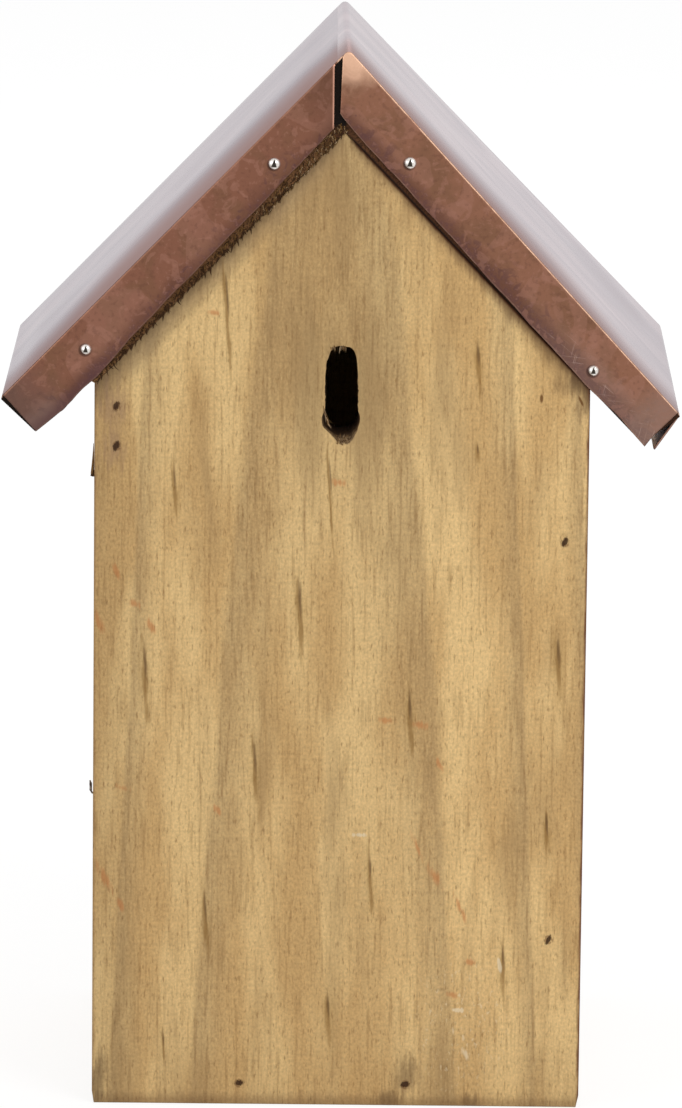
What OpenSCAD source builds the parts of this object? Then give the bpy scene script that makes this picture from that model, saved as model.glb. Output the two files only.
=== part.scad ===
// Garden nest box with a copper-clad gable roof and a side door that swings up for cleaning.
// The origin is the middle of the base. The front faces -Y and +Z is up.

/* [Box] */
// Width across the front panel
body_w = 130; // [100:1:200]
// Depth from the front panel's face to the back panel's face
body_d = 120; // [90:1:200]
// Height of the walls where the roof boards rest on their outer edges
wall_h = 195; // [160:1:260]
// Thickness of the front and back panels
panel_t = 12; // [9:0.5:18]
// Thickness of the side boards, the rail and the door
side_t = 12; // [9:0.5:18]
// Thickness of the floor board
floor_t = 12; // [9:0.5:18]
// Diameter of the drain holes in the floor
drain_d = 4; // [2:0.5:6]
// Distance of each drain hole from the two nearest walls
drain_inset = 14; // [8:1:25]

/* [Entrance slot] */
// Width of the slot between its sawn sides
slot_w = 8.2; // [6:0.1:14]
// Height of the slot's round top above the walls' top edge
slot_top_rise = 10; // [0:1:20]
// Diameter of the wider hole that was drilled first, at the slot's foot
slot_foot_d = 10.2; // [8.5:0.1:16]
// Distance of that hole's centre below the walls' top edge
slot_foot_drop = 8; // [7:1:30]
// Distance of the slot to the right of the panel's middle
slot_x = 0.2; // [-10:0.1:10]

/* [Roof] */
// Slope of both roof boards, in degrees
pitch = 46; // [38:1:52]
// Thickness of the roof boards
roof_t = 13.5; // [10:0.5:18]
// Length of roof board that runs past the side wall, along the slope
overhang = 20; // [12:1:30]
// Radius planed on the boards' edge at the ridge
ridge_r = 1; // [1:0.1:3]

/* [Copper cover] */
// Thickness of the copper sheet
copper_t = 0.5; // [0.4:0.1:0.9]
// Depth of the aprons folded over the boards' ends, square to the slope
apron_h = 13; // [8:0.5:14]
// What the right apron's lower edge loses at the ridge, running out to nothing at the eave
apron_taper = 2.4; // [0:0.1:4]
// Width of the slit that parts the two aprons at the ridge
slit_w = 1.4; // [0.6:0.1:4]
// Distance of the slit to the left of the ridge
slit_shift = 0.6; // [0:0.1:2]
// Lean of the slit out of the upright, in degrees
slit_lean = 1.6; // [0:0.1:5]
// Depth of the flaps folded down over the eaves
flap_h = 10.8; // [6:0.2:13]
// Opening of the right flap, which was never dressed down flat, in degrees
flap_splay = 10; // [0:1:15]
// Set-back of the flaps from the aprons, which leaves the corner seams open
seam_gap = 0.4; // [0.2:0.1:2]

/* [Cover pins] */
// Diameter of the domed pin heads
pin_head_d = 3.3; // [2:0.1:5]
// Height of the dome
pin_head_h = 1; // [0.6:0.1:1.6]
// Diameter of the pin shanks
pin_d = 1.2; // [0.8:0.1:1.6]
// Length of the pins under the head
pin_len = 14; // [8:1:20]
// Distance of the upper pins from the ridge, along the slope
pin_ridge_gap = 18.4; // [12:0.2:30]
// Distance of the left lower pin from the board's end at the eave
pin_eave_gap_left = 24.8; // [12:0.2:32]
// Distance of the right lower pin from the board's end at the eave
pin_eave_gap_right = 22.2; // [12:0.2:32]
// Height of the pins above the roof boards' underside
pin_rise = 7; // [5:0.1:9]
// Height of the right lower pin, which was driven low
pin_rise_low = 4.2; // [4:0.1:9]

/* [Brads] */
// Diameter of the brads' wire
brad_d = 1.2; // [0.8:0.1:1.6]
// Diameter of the brads' heads
brad_head_d = 1.8; // [1.7:0.1:3]
// Thickness of the brads' heads
brad_head_t = 0.6; // [0.4:0.1:1]
// Depth to which the heads are punched below the wood
brad_sink = 0.3; // [0.1:0.1:0.8]
// Length of the brads
brad_len = 28; // [22:1:35]
// Height of the rail's brad above the rail's lower edge
brad_rail_rise = 3.7; // [3:0.1:8]
// Distance of the right side's upper brad below the wall's top
brad_upper_drop = 41.7; // [20:0.1:60]
// Height of the right side's lower brad
brad_lower_z = 45.5; // [20:0.5:80]
// Distance of that lower brad inwards from the middle of the side board's edge
brad_lower_in = 2.7; // [0:0.1:3]
// Distance between the two brads in the floor
brad_floor_gap = 44.4; // [20:0.2:80]
// Distance of that pair to the left of the middle
brad_floor_shift = 3.5; // [0:0.5:10]
// Distance of that pair below the middle of the floor's thickness
brad_floor_drop = 0.8; // [0:0.1:2]
// Distance of the roof board brads from the ridge and from the wall's outer edge, along the slope
brad_roof_gap = 24; // [15:1:34]

/* [Door] */
// Distance of the door's pivot below the walls' top edge
pivot_drop = 16.7; // [13:0.1:50]
// Diameter of the pivot pins
pivot_d = 1.6; // [1.2:0.1:3]
// Radial clearance of the pivot pins in the door
pivot_clear = 0.05; // [0.02:0.01:0.1]
// Depth to which the pivot pins reach into the door
pivot_reach = 14; // [8:1:25]
// Gap between the door and what surrounds it
door_gap = 0.5; // [0.3:0.1:1.5]
// Height of the door's lower edge above the base
door_lift = 1.5; // [0.5:0.1:4]

/* [Catch] */
// Diameter of the bent catch's wire
catch_d = 1.2; // [0.8:0.1:1.6]
// Radius of the catch's bend at the middle of the wire
catch_bend_r = 0.9; // [0.9:0.1:3]
// Length of the catch's arm from its turning axis
catch_arm = 5.5; // [5.5:0.5:14]
// Depth of the catch's shank in the panel's edge
catch_reach = 16; // [10:1:25]
// Height of the catch above the base
catch_z = 83.5; // [40:0.5:140]
// Distance of the catch from the door's edge
catch_inset = 3; // [2:0.5:5]
// Radial clearance of the shank in its hole
catch_clear = 0.05; // [0.02:0.01:0.1]

/* [Hanging] */
// Diameter of the keyhole's entry in the back panel
key_d = 9; // [7:0.5:14]
// Width of the keyhole's slot above the entry
key_slot_w = 4.4; // [3:0.2:6]
// Rise from the entry's centre to the slot's end
key_rise = 9; // [7:0.5:16]
// Height of the entry's centre above the walls' top edge
key_z = 22; // [0:1:26]

/* [Hidden] */
$fn = 48;
left = -1;
right = 1;
front = -1;
back = 1;
wood = "burlywood";
roof_wood = "sienna";
copper = "peru";
steel = "silver";
// Radial clearance of nails and pins in the holes that they were driven into
drive_clear = 0.02;
// Length by which a cutting shape runs past the faces that it cuts
past = 1;
// Flats that make up one bend of the sheet
fold_steps = 5;
half_w = body_w / 2;
half_d = body_d / 2;
inner_d = body_d - 2 * panel_t;
inner_w = body_w - 2 * side_t;
apex_z = wall_h + half_w * tan(pitch);
side_x = half_w - side_t / 2;
// Length of the roof boards' undersides from the apex to the eave
board_len = half_w / cos(pitch) + overhang;
slot_top_z = wall_h + slot_top_rise;
slot_foot_z = wall_h - slot_foot_drop;
pivot_x = -side_x;
pivot_z = wall_h - pivot_drop;
door_top_r = side_t / 2;
rail_z = pivot_z + door_top_r + door_gap;
catch_y = -inner_d / 2 - catch_inset;
// The shank runs straight until it is clear of the panel's edge, and bends there
catch_x = -half_w - catch_clear - catch_bend_r;
// Height of the centre of the rounded ridge
ridge_z = apex_z + (roof_t - ridge_r) / cos(pitch);
// Places of the nails in the front and back panels: rail, right side twice, floor twice
face_brads = [[-side_x, rail_z + brad_rail_rise],
              [side_x, wall_h - brad_upper_drop],
              [side_x - brad_lower_in, brad_lower_z],
              [-brad_floor_gap / 2 - brad_floor_shift, floor_t / 2 - brad_floor_drop],
              [brad_floor_gap / 2 - brad_floor_shift, floor_t / 2 - brad_floor_drop]];

// Places and turns its children from the front face onto the front or the back of the box.
// There +Z points out of the face, and +X and +Y are the box's X and Z.
module on_face(end) {
    translate([0, end * half_d, 0])
    mirror([0, end == back ? 1 : 0, 0])
    rotate([90, 0, 0])
    children();
}

// Lays its children on a roof slope: X runs down the slope from the apex, Z stands square to it
// with 0 at the boards' underside, and Y is the box's Y.
module on_slope(side) {
    mirror([side == left ? 1 : 0, 0, 0])
    translate([0, 0, apex_z])
    rotate([0, pitch, 0])
    children();
}

// Extrudes an outline drawn in the box's X and Z along Y, centred.
module along_y(length) {
    rotate([90, 0, 0])
    linear_extrude(length, center = true)
    children();
}

// Outline of the gable: straight walls up to wall_h, and both slopes up to the apex.
module gable_outline() {
    polygon([[-half_w, 0], [half_w, 0], [half_w, wall_h], [0, apex_z], [-half_w, wall_h]]);
}

// Everything below the roof boards' undersides, between two distances from the middle.
module under_slope(x_in, x_out, z_low) {
    polygon([[x_in, z_low], [x_out, z_low], [x_out, apex_z - x_out * tan(pitch)],
             [x_in, apex_z - x_in * tan(pitch)]]);
}

// Points on an arc about a centre, from one angle to another.
function arc(centre, r, from, to) =
    [for (i = [0 : fold_steps])
        let (a = from + (to - from) * i / fold_steps)
        centre + r * [cos(a), sin(a)]];

// A place on the right slope, in the box's X and Z: s down the slope from the apex, and n square
// to it from the boards' underside.
function slope_point(s, n) =
    [s * cos(pitch) + n * sin(pitch), apex_z - s * sin(pitch) + n * cos(pitch)];

// Outline of the right roof board, from the mitre under the ridge to the eave.
module board_outline() {
    polygon(concat([[0, apex_z], slope_point(board_len, 0), slope_point(board_len, roof_t)],
                   arc([0, ridge_z], ridge_r, 90 - pitch, 90)));
}

// One nail along -Z with its flat head's top at z = 0 and its point cut by a short cone.
module brad(length) {
    point = 2 * brad_d;
    translate([0, 0, -brad_head_t])
    cylinder(h = brad_head_t, d = brad_head_d);
    translate([0, 0, point - length])
    cylinder(h = length - point, d = brad_d);
    translate([0, 0, -length])
    cylinder(h = point, d1 = brad_d / 4, d2 = brad_d);
}

// The hole that a punched nail leaves: the shank's bore and the head's pocket.
module brad_hole(length) {
    translate([0, 0, -length])
    cylinder(h = length, d = brad_d + 2 * drive_clear);
    translate([0, 0, -brad_head_t - drive_clear])
    cylinder(h = brad_head_t + brad_sink + past, d = brad_head_d + 2 * drive_clear);
}

module place_face_brads(end) {
    for (at = face_brads)
        on_face(end)
        translate([at.x, at.y, -brad_sink])
        children();
}

// Places of the nails that hold the roof boards: two into each panel's edge on each side.
module place_roof_brads() {
    for (side = [left, right])
        for (end = [front, back])
            for (s = [brad_roof_gap, board_len - overhang - brad_roof_gap])
                on_slope(side)
                translate([s, end * (half_d - panel_t / 2), roof_t - brad_sink])
                children();
}

// Places of the four domed pins in one end of the roof, with +Z out of the apron.
module place_cover_pins(end) {
    low_left = board_len - pin_eave_gap_left;
    low_right = board_len - pin_eave_gap_right;
    pins = [[left, pin_ridge_gap, pin_rise], [left, low_left, pin_rise],
            [right, pin_ridge_gap, pin_rise], [right, low_right, pin_rise_low]];
    for (p = pins)
        on_slope(p[0])
        translate([p[1], end * (half_d + copper_t), p[2]])
        rotate([end == front ? 90 : -90, 0, 0])
        children();
}

module pivot_hole(clear) {
    on_face(front)
    translate([pivot_x, pivot_z, -panel_t - pivot_reach])
    cylinder(h = panel_t + pivot_reach + past, d = pivot_d + 2 * clear);
}

// The entrance: a round foot hole, a round top and the sawn sides between them.
module entrance_slot() {
    top_r = slot_w / 2;
    translate([slot_x, slot_foot_z])
    circle(d = slot_foot_d);
    translate([slot_x, slot_top_z - top_r])
    circle(r = top_r);
    translate([slot_x - top_r, slot_foot_z])
    square([slot_w, slot_top_z - top_r - slot_foot_z]);
}

module keyhole() {
    translate([0, wall_h + key_z])
    circle(d = key_d);
    translate([0, wall_h + key_z + key_rise - key_slot_w / 2])
    circle(d = key_slot_w);
    translate([-key_slot_w / 2, wall_h + key_z])
    square([key_slot_w, key_rise - key_slot_w / 2]);
}

module panel_holes(end) {
    place_face_brads(end)
    brad_hole(brad_len);
    place_roof_brads()
    brad_hole(brad_len);
}

module front_panel() {
    color(wood)
    difference() {
        translate([0, -half_d + panel_t / 2, 0])
        along_y(panel_t)
        difference() {
            gable_outline();
            entrance_slot();
        }
        panel_holes(front);
        pivot_hole(drive_clear);
        translate([-half_w - past, catch_y, catch_z])
        rotate([0, 90, 0])
        cylinder(h = catch_reach + past, d = catch_d + 2 * catch_clear);
    }
}

module back_panel() {
    color(wood)
    difference() {
        translate([0, half_d - panel_t / 2, 0])
        along_y(panel_t)
        difference() {
            gable_outline();
            keyhole();
        }
        panel_holes(back);
        mirror([0, 1, 0])
        pivot_hole(drive_clear);
    }
}

module right_side() {
    color(wood)
    difference() {
        along_y(inner_d)
        under_slope(half_w - side_t, half_w, 0);
        for (end = [front, back])
            place_face_brads(end)
            brad_hole(brad_len);
    }
}

module left_top_rail() {
    color(wood)
    difference() {
        along_y(inner_d)
        mirror([1, 0])
        under_slope(half_w - side_t, half_w, rail_z);
        for (end = [front, back])
            place_face_brads(end)
            brad_hole(brad_len);
    }
}

// The door's top is a half round about the pivot, so that it turns under the rail.
module side_door() {
    color(wood)
    difference() {
        along_y(inner_d - 2 * door_gap)
        union() {
            translate([-half_w, door_lift])
            square([side_t, pivot_z - door_lift]);
            translate([pivot_x, pivot_z])
            circle(door_top_r);
        }
        for (end = [front, back])
            mirror([0, end == back ? 1 : 0, 0])
            pivot_hole(pivot_clear);
    }
}

module floor_board() {
    color(wood)
    difference() {
        translate([-inner_w / 2 + door_gap, -inner_d / 2, 0])
        cube([inner_w - door_gap, inner_d, floor_t]);
        for (end = [front, back])
            place_face_brads(end)
            brad_hole(brad_len);
        for (x = [left, right])
            for (y = [front, back])
                translate([x * (inner_w / 2 - drain_inset), y * (inner_d / 2 - drain_inset), -past])
                cylinder(h = floor_t + 2 * past, d = drain_d);
    }
}

// One roof board, mitred at the ridge.
module roof_board(side) {
    color(roof_wood)
    difference() {
        mirror([side == left ? 1 : 0, 0, 0])
        along_y(body_d)
        board_outline();
        place_roof_brads()
        brad_hole(brad_len);
        for (end = [front, back])
            place_cover_pins(end)
            translate([0, 0, -pin_len - past])
            cylinder(h = pin_len + past, d = pin_d + 2 * drive_clear);
    }
}

module roof_board_left() {
    roof_board(left);
}

module roof_board_right() {
    roof_board(right);
}

// Outline of the right half of the bent sheet, from the ridge along its underside, round the flap
// and back along its top. The flap opens by the splay.
function half_sheet(splay) =
    let (corner = slope_point(board_len, roof_t),
         lean = splay - pitch,
         tip = corner + (flap_h - copper_t) * [sin(lean), -cos(lean)])
    concat(arc([0, ridge_z], ridge_r, 90, 90 - pitch),
           [corner, tip, tip + copper_t * [cos(lean), sin(lean)]],
           arc(corner, copper_t, lean, 90 - pitch),
           arc([0, ridge_z], ridge_r + copper_t, 90 - pitch, 90));

// Section of the whole sheet across the ridge, drawn in one stroke.
module sheet_section() {
    half_left = half_sheet(0);
    last_left = len(half_left) - 2;
    polygon(concat(half_sheet(flap_splay),
                   [for (i = [last_left : -1 : 1]) [-half_left[i].x, half_left[i].y]]));
}

// One apron over the boards' front or back end, with its lower edge at two heights. Both aprons
// of an end start in the slit's middle, and run up into the sheet.
module apron(side, end, low_ridge, low_eave) {
    inner_s = -side * slit_shift / cos(pitch);
    high = roof_t + copper_t / 2;
    on_slope(side)
    translate([0, end * (half_d + copper_t / 2), 0])
    along_y(copper_t)
    polygon([[inner_s - high * tan(pitch), high], [inner_s - low_ridge * tan(pitch), low_ridge],
             [board_len + past, low_eave], [board_len + past, high]]);
}

// The open seams that part the flaps from the aprons.
module corner_seams() {
    for (side = [left, right])
        for (end = [front, back])
            on_slope(side)
            mirror([0, end == front ? 1 : 0, 0])
            translate([board_len, half_d - seam_gap, -past])
            cube([flap_h, seam_gap + copper_t + past, roof_t + copper_t + 2 * past]);
}

// The cut that parts the aprons, and the notch that frees them from the ridge's bend. Both run
// into the top sheet by its thickness.
module apron_slit() {
    reach = 2 * roof_t;
    depth = 2 * (past + copper_t);
    notch_w = 2 * (ridge_r * sin(pitch) + copper_t);
    for (end = [front, back])
        translate([0, end * (half_d + past), ridge_z]) {
            translate([-slit_shift, 0, 0])
            rotate([0, slit_lean, 0])
            cube([slit_w, depth, 2 * reach], center = true);
            translate([-notch_w / 2, -depth / 2, -copper_t])
            cube([notch_w, depth, reach]);
        }
}

// One sheet bent over the ridge, with an apron at each end of each slope and a flap at each eave.
module copper_cover() {
    low = roof_t + copper_t - apron_h;
    color(copper)
    difference() {
        union() {
            along_y(body_d + 2 * copper_t)
            sheet_section();
            for (end = [front, back]) {
                apron(left, end, low, low);
                apron(right, end, low + apron_taper, low);
            }
        }
        corner_seams();
        apron_slit();
        for (end = [front, back])
            place_cover_pins(end)
            translate([0, 0, -2 * copper_t])
            cylinder(h = 3 * copper_t, d = pin_d + 2 * drive_clear);
    }
}

// One pin with a low domed head: the dome is a slice of a ball.
module cover_pin() {
    ball_r = (pin_head_h * pin_head_h + pin_head_d * pin_head_d / 4) / (2 * pin_head_h);
    intersection() {
        translate([0, 0, pin_head_h - ball_r])
        sphere(ball_r);
        cylinder(h = pin_head_h, d = 2 * pin_head_d);
    }
    translate([0, 0, -pin_len + pin_d])
    cylinder(h = pin_len - pin_d, d = pin_d);
    translate([0, 0, -pin_len])
    cylinder(h = pin_d, d1 = pin_d / 4, d2 = pin_d);
}

module front_cover_pins() {
    color(steel)
    place_cover_pins(front)
    cover_pin();
}

module back_cover_pins() {
    color(steel)
    place_cover_pins(back)
    cover_pin();
}

module front_brads() {
    color(steel)
    place_face_brads(front)
    brad(brad_len - brad_sink);
}

module back_brads() {
    color(steel)
    place_face_brads(back)
    brad(brad_len - brad_sink);
}

module roof_brads() {
    color(steel)
    place_roof_brads()
    brad(brad_len - brad_sink);
}

// The headless pin that the door turns on, driven flush through a panel.
module door_pivot() {
    on_face(front)
    translate([pivot_x, pivot_z, -panel_t - pivot_reach + pivot_d])
    cylinder(h = panel_t + pivot_reach - pivot_d, d = pivot_d);
}

module door_pivot_front() {
    color(steel)
    door_pivot();
}

module door_pivot_back() {
    color(steel)
    mirror([0, 1, 0])
    door_pivot();
}

// The wire catch: a shank in the panel's edge, a quarter bend and an arm that stands up when free.
module door_catch() {
    color(steel)
    translate([0, catch_y, catch_z]) {
        translate([catch_x + catch_bend_r, 0, 0])
        rotate([0, 90, 0])
        cylinder(h = catch_reach - catch_d - (catch_x + catch_bend_r + half_w), d = catch_d);
        translate([catch_x + catch_bend_r, 0, catch_bend_r])
        rotate([90, 0, 0])
        rotate([0, 0, 180])
        rotate_extrude(angle = 90)
        translate([catch_bend_r, 0])
        circle(d = catch_d);
        translate([catch_x, 0, catch_bend_r])
        cylinder(h = catch_arm - catch_bend_r, d = catch_d);
    }
}

front_panel();
back_panel();
right_side();
left_top_rail();
side_door();
floor_board();
roof_board_left();
roof_board_right();
copper_cover();
front_cover_pins();
back_cover_pins();
front_brads();
back_brads();
roof_brads();
door_pivot_front();
door_pivot_back();
door_catch();
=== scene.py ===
import itertools
import math

import bmesh
import bpy
import numpy as np
from mathutils import Matrix, Vector


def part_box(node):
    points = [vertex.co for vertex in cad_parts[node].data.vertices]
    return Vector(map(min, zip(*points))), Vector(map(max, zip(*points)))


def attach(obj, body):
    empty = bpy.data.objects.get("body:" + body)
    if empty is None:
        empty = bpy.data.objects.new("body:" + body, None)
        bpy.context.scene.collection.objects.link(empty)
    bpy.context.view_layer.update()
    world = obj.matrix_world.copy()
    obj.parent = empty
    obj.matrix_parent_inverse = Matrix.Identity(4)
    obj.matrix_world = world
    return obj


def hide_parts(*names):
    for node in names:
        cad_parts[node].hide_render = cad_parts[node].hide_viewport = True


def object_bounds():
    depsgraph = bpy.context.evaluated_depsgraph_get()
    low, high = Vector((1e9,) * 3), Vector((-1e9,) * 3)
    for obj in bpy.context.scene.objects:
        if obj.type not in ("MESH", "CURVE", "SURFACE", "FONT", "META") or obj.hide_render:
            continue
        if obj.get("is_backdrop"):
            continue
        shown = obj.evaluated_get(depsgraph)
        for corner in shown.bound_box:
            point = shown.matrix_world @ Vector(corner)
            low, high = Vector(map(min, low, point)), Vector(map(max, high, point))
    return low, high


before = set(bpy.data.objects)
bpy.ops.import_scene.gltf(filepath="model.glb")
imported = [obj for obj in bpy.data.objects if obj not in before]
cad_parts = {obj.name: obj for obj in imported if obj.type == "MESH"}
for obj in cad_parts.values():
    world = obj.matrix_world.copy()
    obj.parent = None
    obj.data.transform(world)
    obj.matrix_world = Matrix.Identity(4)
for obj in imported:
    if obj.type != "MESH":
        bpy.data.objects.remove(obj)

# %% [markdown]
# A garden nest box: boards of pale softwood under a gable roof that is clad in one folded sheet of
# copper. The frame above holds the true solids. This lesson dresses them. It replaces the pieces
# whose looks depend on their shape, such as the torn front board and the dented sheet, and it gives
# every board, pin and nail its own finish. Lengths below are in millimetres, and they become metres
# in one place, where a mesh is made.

MM = 0.001
PITCH = math.radians(46)
SIN, COS, TAN = math.sin(PITCH), math.cos(PITCH), math.tan(PITCH)
BOARD_T = 13.5
SHEET_T = 0.5
RIDGE_R = 1.5

cad_box = [list(corner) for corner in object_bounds()]
panel_low, panel_high = (np.array(corner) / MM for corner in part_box("front_panel"))
roof_high = np.array(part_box("roof_board_right")[1]) / MM
HALF_W, FRONT_Y, INNER_Y, APEX_Z = panel_high[0], panel_low[1], panel_high[1], panel_high[2]
WALL_Z = APEX_Z - HALF_W * TAN
BOARD_LEN = (roof_high[0] - BOARD_T * SIN) / COS
SHEET_N = BOARD_T + SHEET_T
RIDGE_Z = APEX_Z + (SHEET_N - RIDGE_R) / COS
print(f"Front board {2 * HALF_W:.0f} mm wide, walls {WALL_Z:.1f} mm, apex {APEX_Z:.1f} mm")
print(f"Roof boards {BOARD_LEN:.1f} mm down the slope, ridge at {RIDGE_Z + RIDGE_R:.1f} mm")

# %% [markdown]
# The photo was taken from the front and a little above, with a long lens, as small goods are. Such a
# view could be set by eye, but the corners of the box give it exactly: the camera stands two metres
# off, looks down by 11 degrees and leans by half a degree.

# %% Camera
CAMERA_AT = Vector((-3.3, -1997.2, 538.7)) * MM
LOOK_DOWN, LOOK_LEFT, LEAN = (math.radians(a) for a in (11.34, -0.10, 0.60))
LENS, FILM = 243.8, 36
NEAREST, FARTHEST = 0.05, 30

forward = Vector((-math.sin(LOOK_LEFT) * math.cos(LOOK_DOWN),
                  math.cos(LOOK_LEFT) * math.cos(LOOK_DOWN), -math.sin(LOOK_DOWN)))
level = Vector((math.cos(LOOK_LEFT), math.sin(LOOK_LEFT), 0))
upright = level.cross(forward)
to_right = math.cos(LEAN) * level + math.sin(LEAN) * upright
to_top = to_right.cross(forward)
camera = bpy.data.objects.new("camera", bpy.data.cameras.new("camera"))
bpy.context.scene.collection.objects.link(camera)
turn = Matrix((to_right, to_top, -forward)).transposed().to_4x4()
camera.matrix_world = Matrix.Translation(CAMERA_AT) @ turn
camera.data.lens, camera.data.sensor_width = LENS, FILM
camera.data.clip_start, camera.data.clip_end = NEAREST, FARTHEST
bpy.context.scene.camera = camera
bpy.context.scene.view_settings.view_transform = "Standard"
print(f"Camera {CAMERA_AT.length:.2f} m from the box, {LENS} mm lens")

# %% [markdown]
# A material is a graph of nodes, and a graph is tiresome to write out. A small class helps: it holds
# one socket, and a sum or a product with it adds the Math node that works it out. Every other
# node comes from one method, `node`, which sets the node's settings first and then its sockets.

# %% A socket that can be calculated with
class Wire:
    """One output socket of a material's node tree."""

    def __init__(self, socket):
        self.socket, self.tree = socket, socket.id_data

    def node(self, kind, settings, inputs, out=0):
        """Adds a node of a kind: its settings, its sockets by name or number, and one output."""
        made = self.tree.nodes.new("ShaderNode" + kind)
        for key, value in settings.items():
            setattr(made, key, value)
        for key, value in inputs.items():
            if isinstance(value, Wire):
                self.tree.links.new(value.socket, made.inputs[key])
            else:
                made.inputs[key].default_value = value
        return Wire(made.outputs[out])

    def math(self, operation, *values):
        return self.node("Math", {"operation": operation}, dict(enumerate(values)))

    def __add__(self, other):
        return self.math("ADD", self, other)

    def __sub__(self, other):
        return self.math("SUBTRACT", self, other)

    def __rsub__(self, other):
        return self.math("SUBTRACT", other, self)

    def __mul__(self, other):
        return self.math("MULTIPLY", self, other)

    def __truediv__(self, other):
        return self.math("DIVIDE", self, other)

    def __pow__(self, other):
        return self.math("POWER", self, other)

    def __abs__(self):
        return self.math("ABSOLUTE", self)

    __radd__, __rmul__ = __add__, __mul__

    def step(self, low, high):
        """0 below low, 1 above high and a smooth slope between; with low above high it falls."""
        flip = low > high
        ends = {1: high, 2: low, 3: 1.0, 4: 0.0} if flip else {1: low, 2: high}
        return self.node("MapRange", {"interpolation_type": "SMOOTHSTEP"}, {0: self, **ends})

    def vector(self, operation, *values):
        """A Vector Math node whose result is a vector."""
        return self.node("VectorMath", {"operation": operation}, dict(enumerate(values)))

    def axes(self):
        """The X, Y and Z of a vector, as three wires."""
        apart = self.node("SeparateXYZ", {}, {0: self}).socket.node
        return [Wire(socket) for socket in apart.outputs]

    def larger(self, other):
        """The larger of two values."""
        return self.math("MAXIMUM", self, other)

    def smaller(self, other):
        """The smaller of two values."""
        return self.math("MINIMUM", self, other)

    def blend(self, under, over):
        """The colour under where this is 0, and the colour over where it is 1."""
        under, over = ((*c, 1) if isinstance(c, tuple) else c for c in (under, over))
        return self.node("Mix", {"data_type": "RGBA"}, {0: self, 6: under, 7: over}, out=2)

    def times(self, colour):
        """The colour made this many times as light."""
        return self.node("VectorMath", {"operation": "SCALE"}, {0: colour, "Scale": self})

    def noise(self, x, y, z, detail=2.0, twist=0.0):
        """Clouds about 0.5, this many to the millimetre along X, Y and Z."""
        stretched = self.vector("MULTIPLY", self, (x, y, z))
        sockets = {"Vector": stretched, "Scale": 1.0, "Detail": detail, "Distortion": twist}
        return self.node("TexNoise", {}, sockets)


def srgb(r, g, b):
    """A colour given as 0 to 255 a channel, as the light values that a shader wants."""
    values = np.array([r, g, b]) / 255
    low, high = values / 12.92, ((values + 0.055) / 1.055) ** 2.4
    return tuple(float(v) for v in np.where(values <= 0.04045, low, high))


def begin(name):
    """A new material with an empty tree, and its Object coordinates in millimetres."""
    material = bpy.data.materials.new(name)
    material.use_nodes = True
    material.node_tree.nodes.clear()
    source = material.node_tree.nodes.new("ShaderNodeTexCoord")
    place = Wire(source.outputs["Object"])
    return material, place.vector("MULTIPLY", place, (1 / MM,) * 3), Wire(source.outputs["Normal"])


def finish(material, colour, roughness, height, metallic=0.0, constants=()):
    """Ends a material in one Principled shader; height is the relief in millimetres."""
    bump = height.node("Bump", {}, {"Height": height, "Distance": MM, "Strength": 1.0})
    sockets = {"Base Color": colour, "Roughness": roughness, "Normal": bump, "Metallic": metallic}
    sockets.update(constants)
    shader = height.node("BsdfPrincipled", {}, sockets)
    output = material.node_tree.nodes.new("ShaderNodeOutputMaterial")
    material.node_tree.links.new(shader.socket, output.inputs["Surface"])
    return material


print(f"A grey of 128 to the eye is a light value of {srgb(128, 128, 128)[0]:.2f}")

# %% [markdown]
# The light is that of a white photo tent: soft from all sides, a little stronger from the upper
# right. The walls of the tent are white to the camera and in the metal's reflections, but they
# light the wood more weakly, so that pale wood keeps its colour.

# %% Light
TENT_LIGHT = 0.62
LAMPS = (("key_lamp", (1000, -1300, 1300), 9.0), ("fill_lamp", (-1300, -1100, 700), 4.0),
         ("back_lamp", (200, 1500, 1300), 4.0))
LAMP_SIZE, LAMP_TARGET = 900, (0, 0, 140)
WHITE = (1, 1, 1, 1)


def seen_directly(tree):
    """1 for rays from the camera, mirrors and glass, and 0 for the rays that carry light."""
    rays = tree.nodes.new("ShaderNodeLightPath")
    camera_ray, mirror_ray, glass_ray = (Wire(rays.outputs[f"Is {kind} Ray"])
                                         for kind in ("Camera", "Glossy", "Transmission"))
    return camera_ray.larger(mirror_ray).larger(glass_ray)


world = bpy.data.worlds.new("tent")
bpy.context.scene.world = world
world.use_nodes = True
world.node_tree.nodes.clear()
seen = seen_directly(world.node_tree)
strength = TENT_LIGHT + (1 - TENT_LIGHT) * seen
tent = seen.node("Background", {}, {"Color": WHITE, "Strength": strength})
world_end = world.node_tree.nodes.new("ShaderNodeOutputWorld")
world.node_tree.links.new(tent.socket, world_end.inputs["Surface"])

for name, place, watts in LAMPS:
    lamp = bpy.data.lights.new(name, "AREA")
    lamp.energy, lamp.size = watts, LAMP_SIZE * MM
    holder = bpy.data.objects.new(name, lamp)
    bpy.context.scene.collection.objects.link(holder)
    at, target = Vector(place) * MM, Vector(LAMP_TARGET) * MM
    aim = (target - at).to_track_quat("-Z", "Y").to_matrix().to_4x4()
    holder.matrix_world = Matrix.Translation(at) @ aim
print("Tent at", TENT_LIGHT, "for wood and at 1 for the camera and for metal")

# %% [markdown]
# The floor is a large pale sheet just under the box. A plain one would come out grey, as it gets
# no more light than the box. So part of it glows white, but only for the camera and in mirrors,
# and the rest is an ordinary matt surface that shows the shadow.

# %% The floor
FLOOR_SIZE, FLOOR_GAP = 8000, 0.05
FLOOR_SHARE, FLOOR_GLOW = 0.75, 1.12
FLOOR_GREY = (0.9, 0.9, 0.9, 1)

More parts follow.
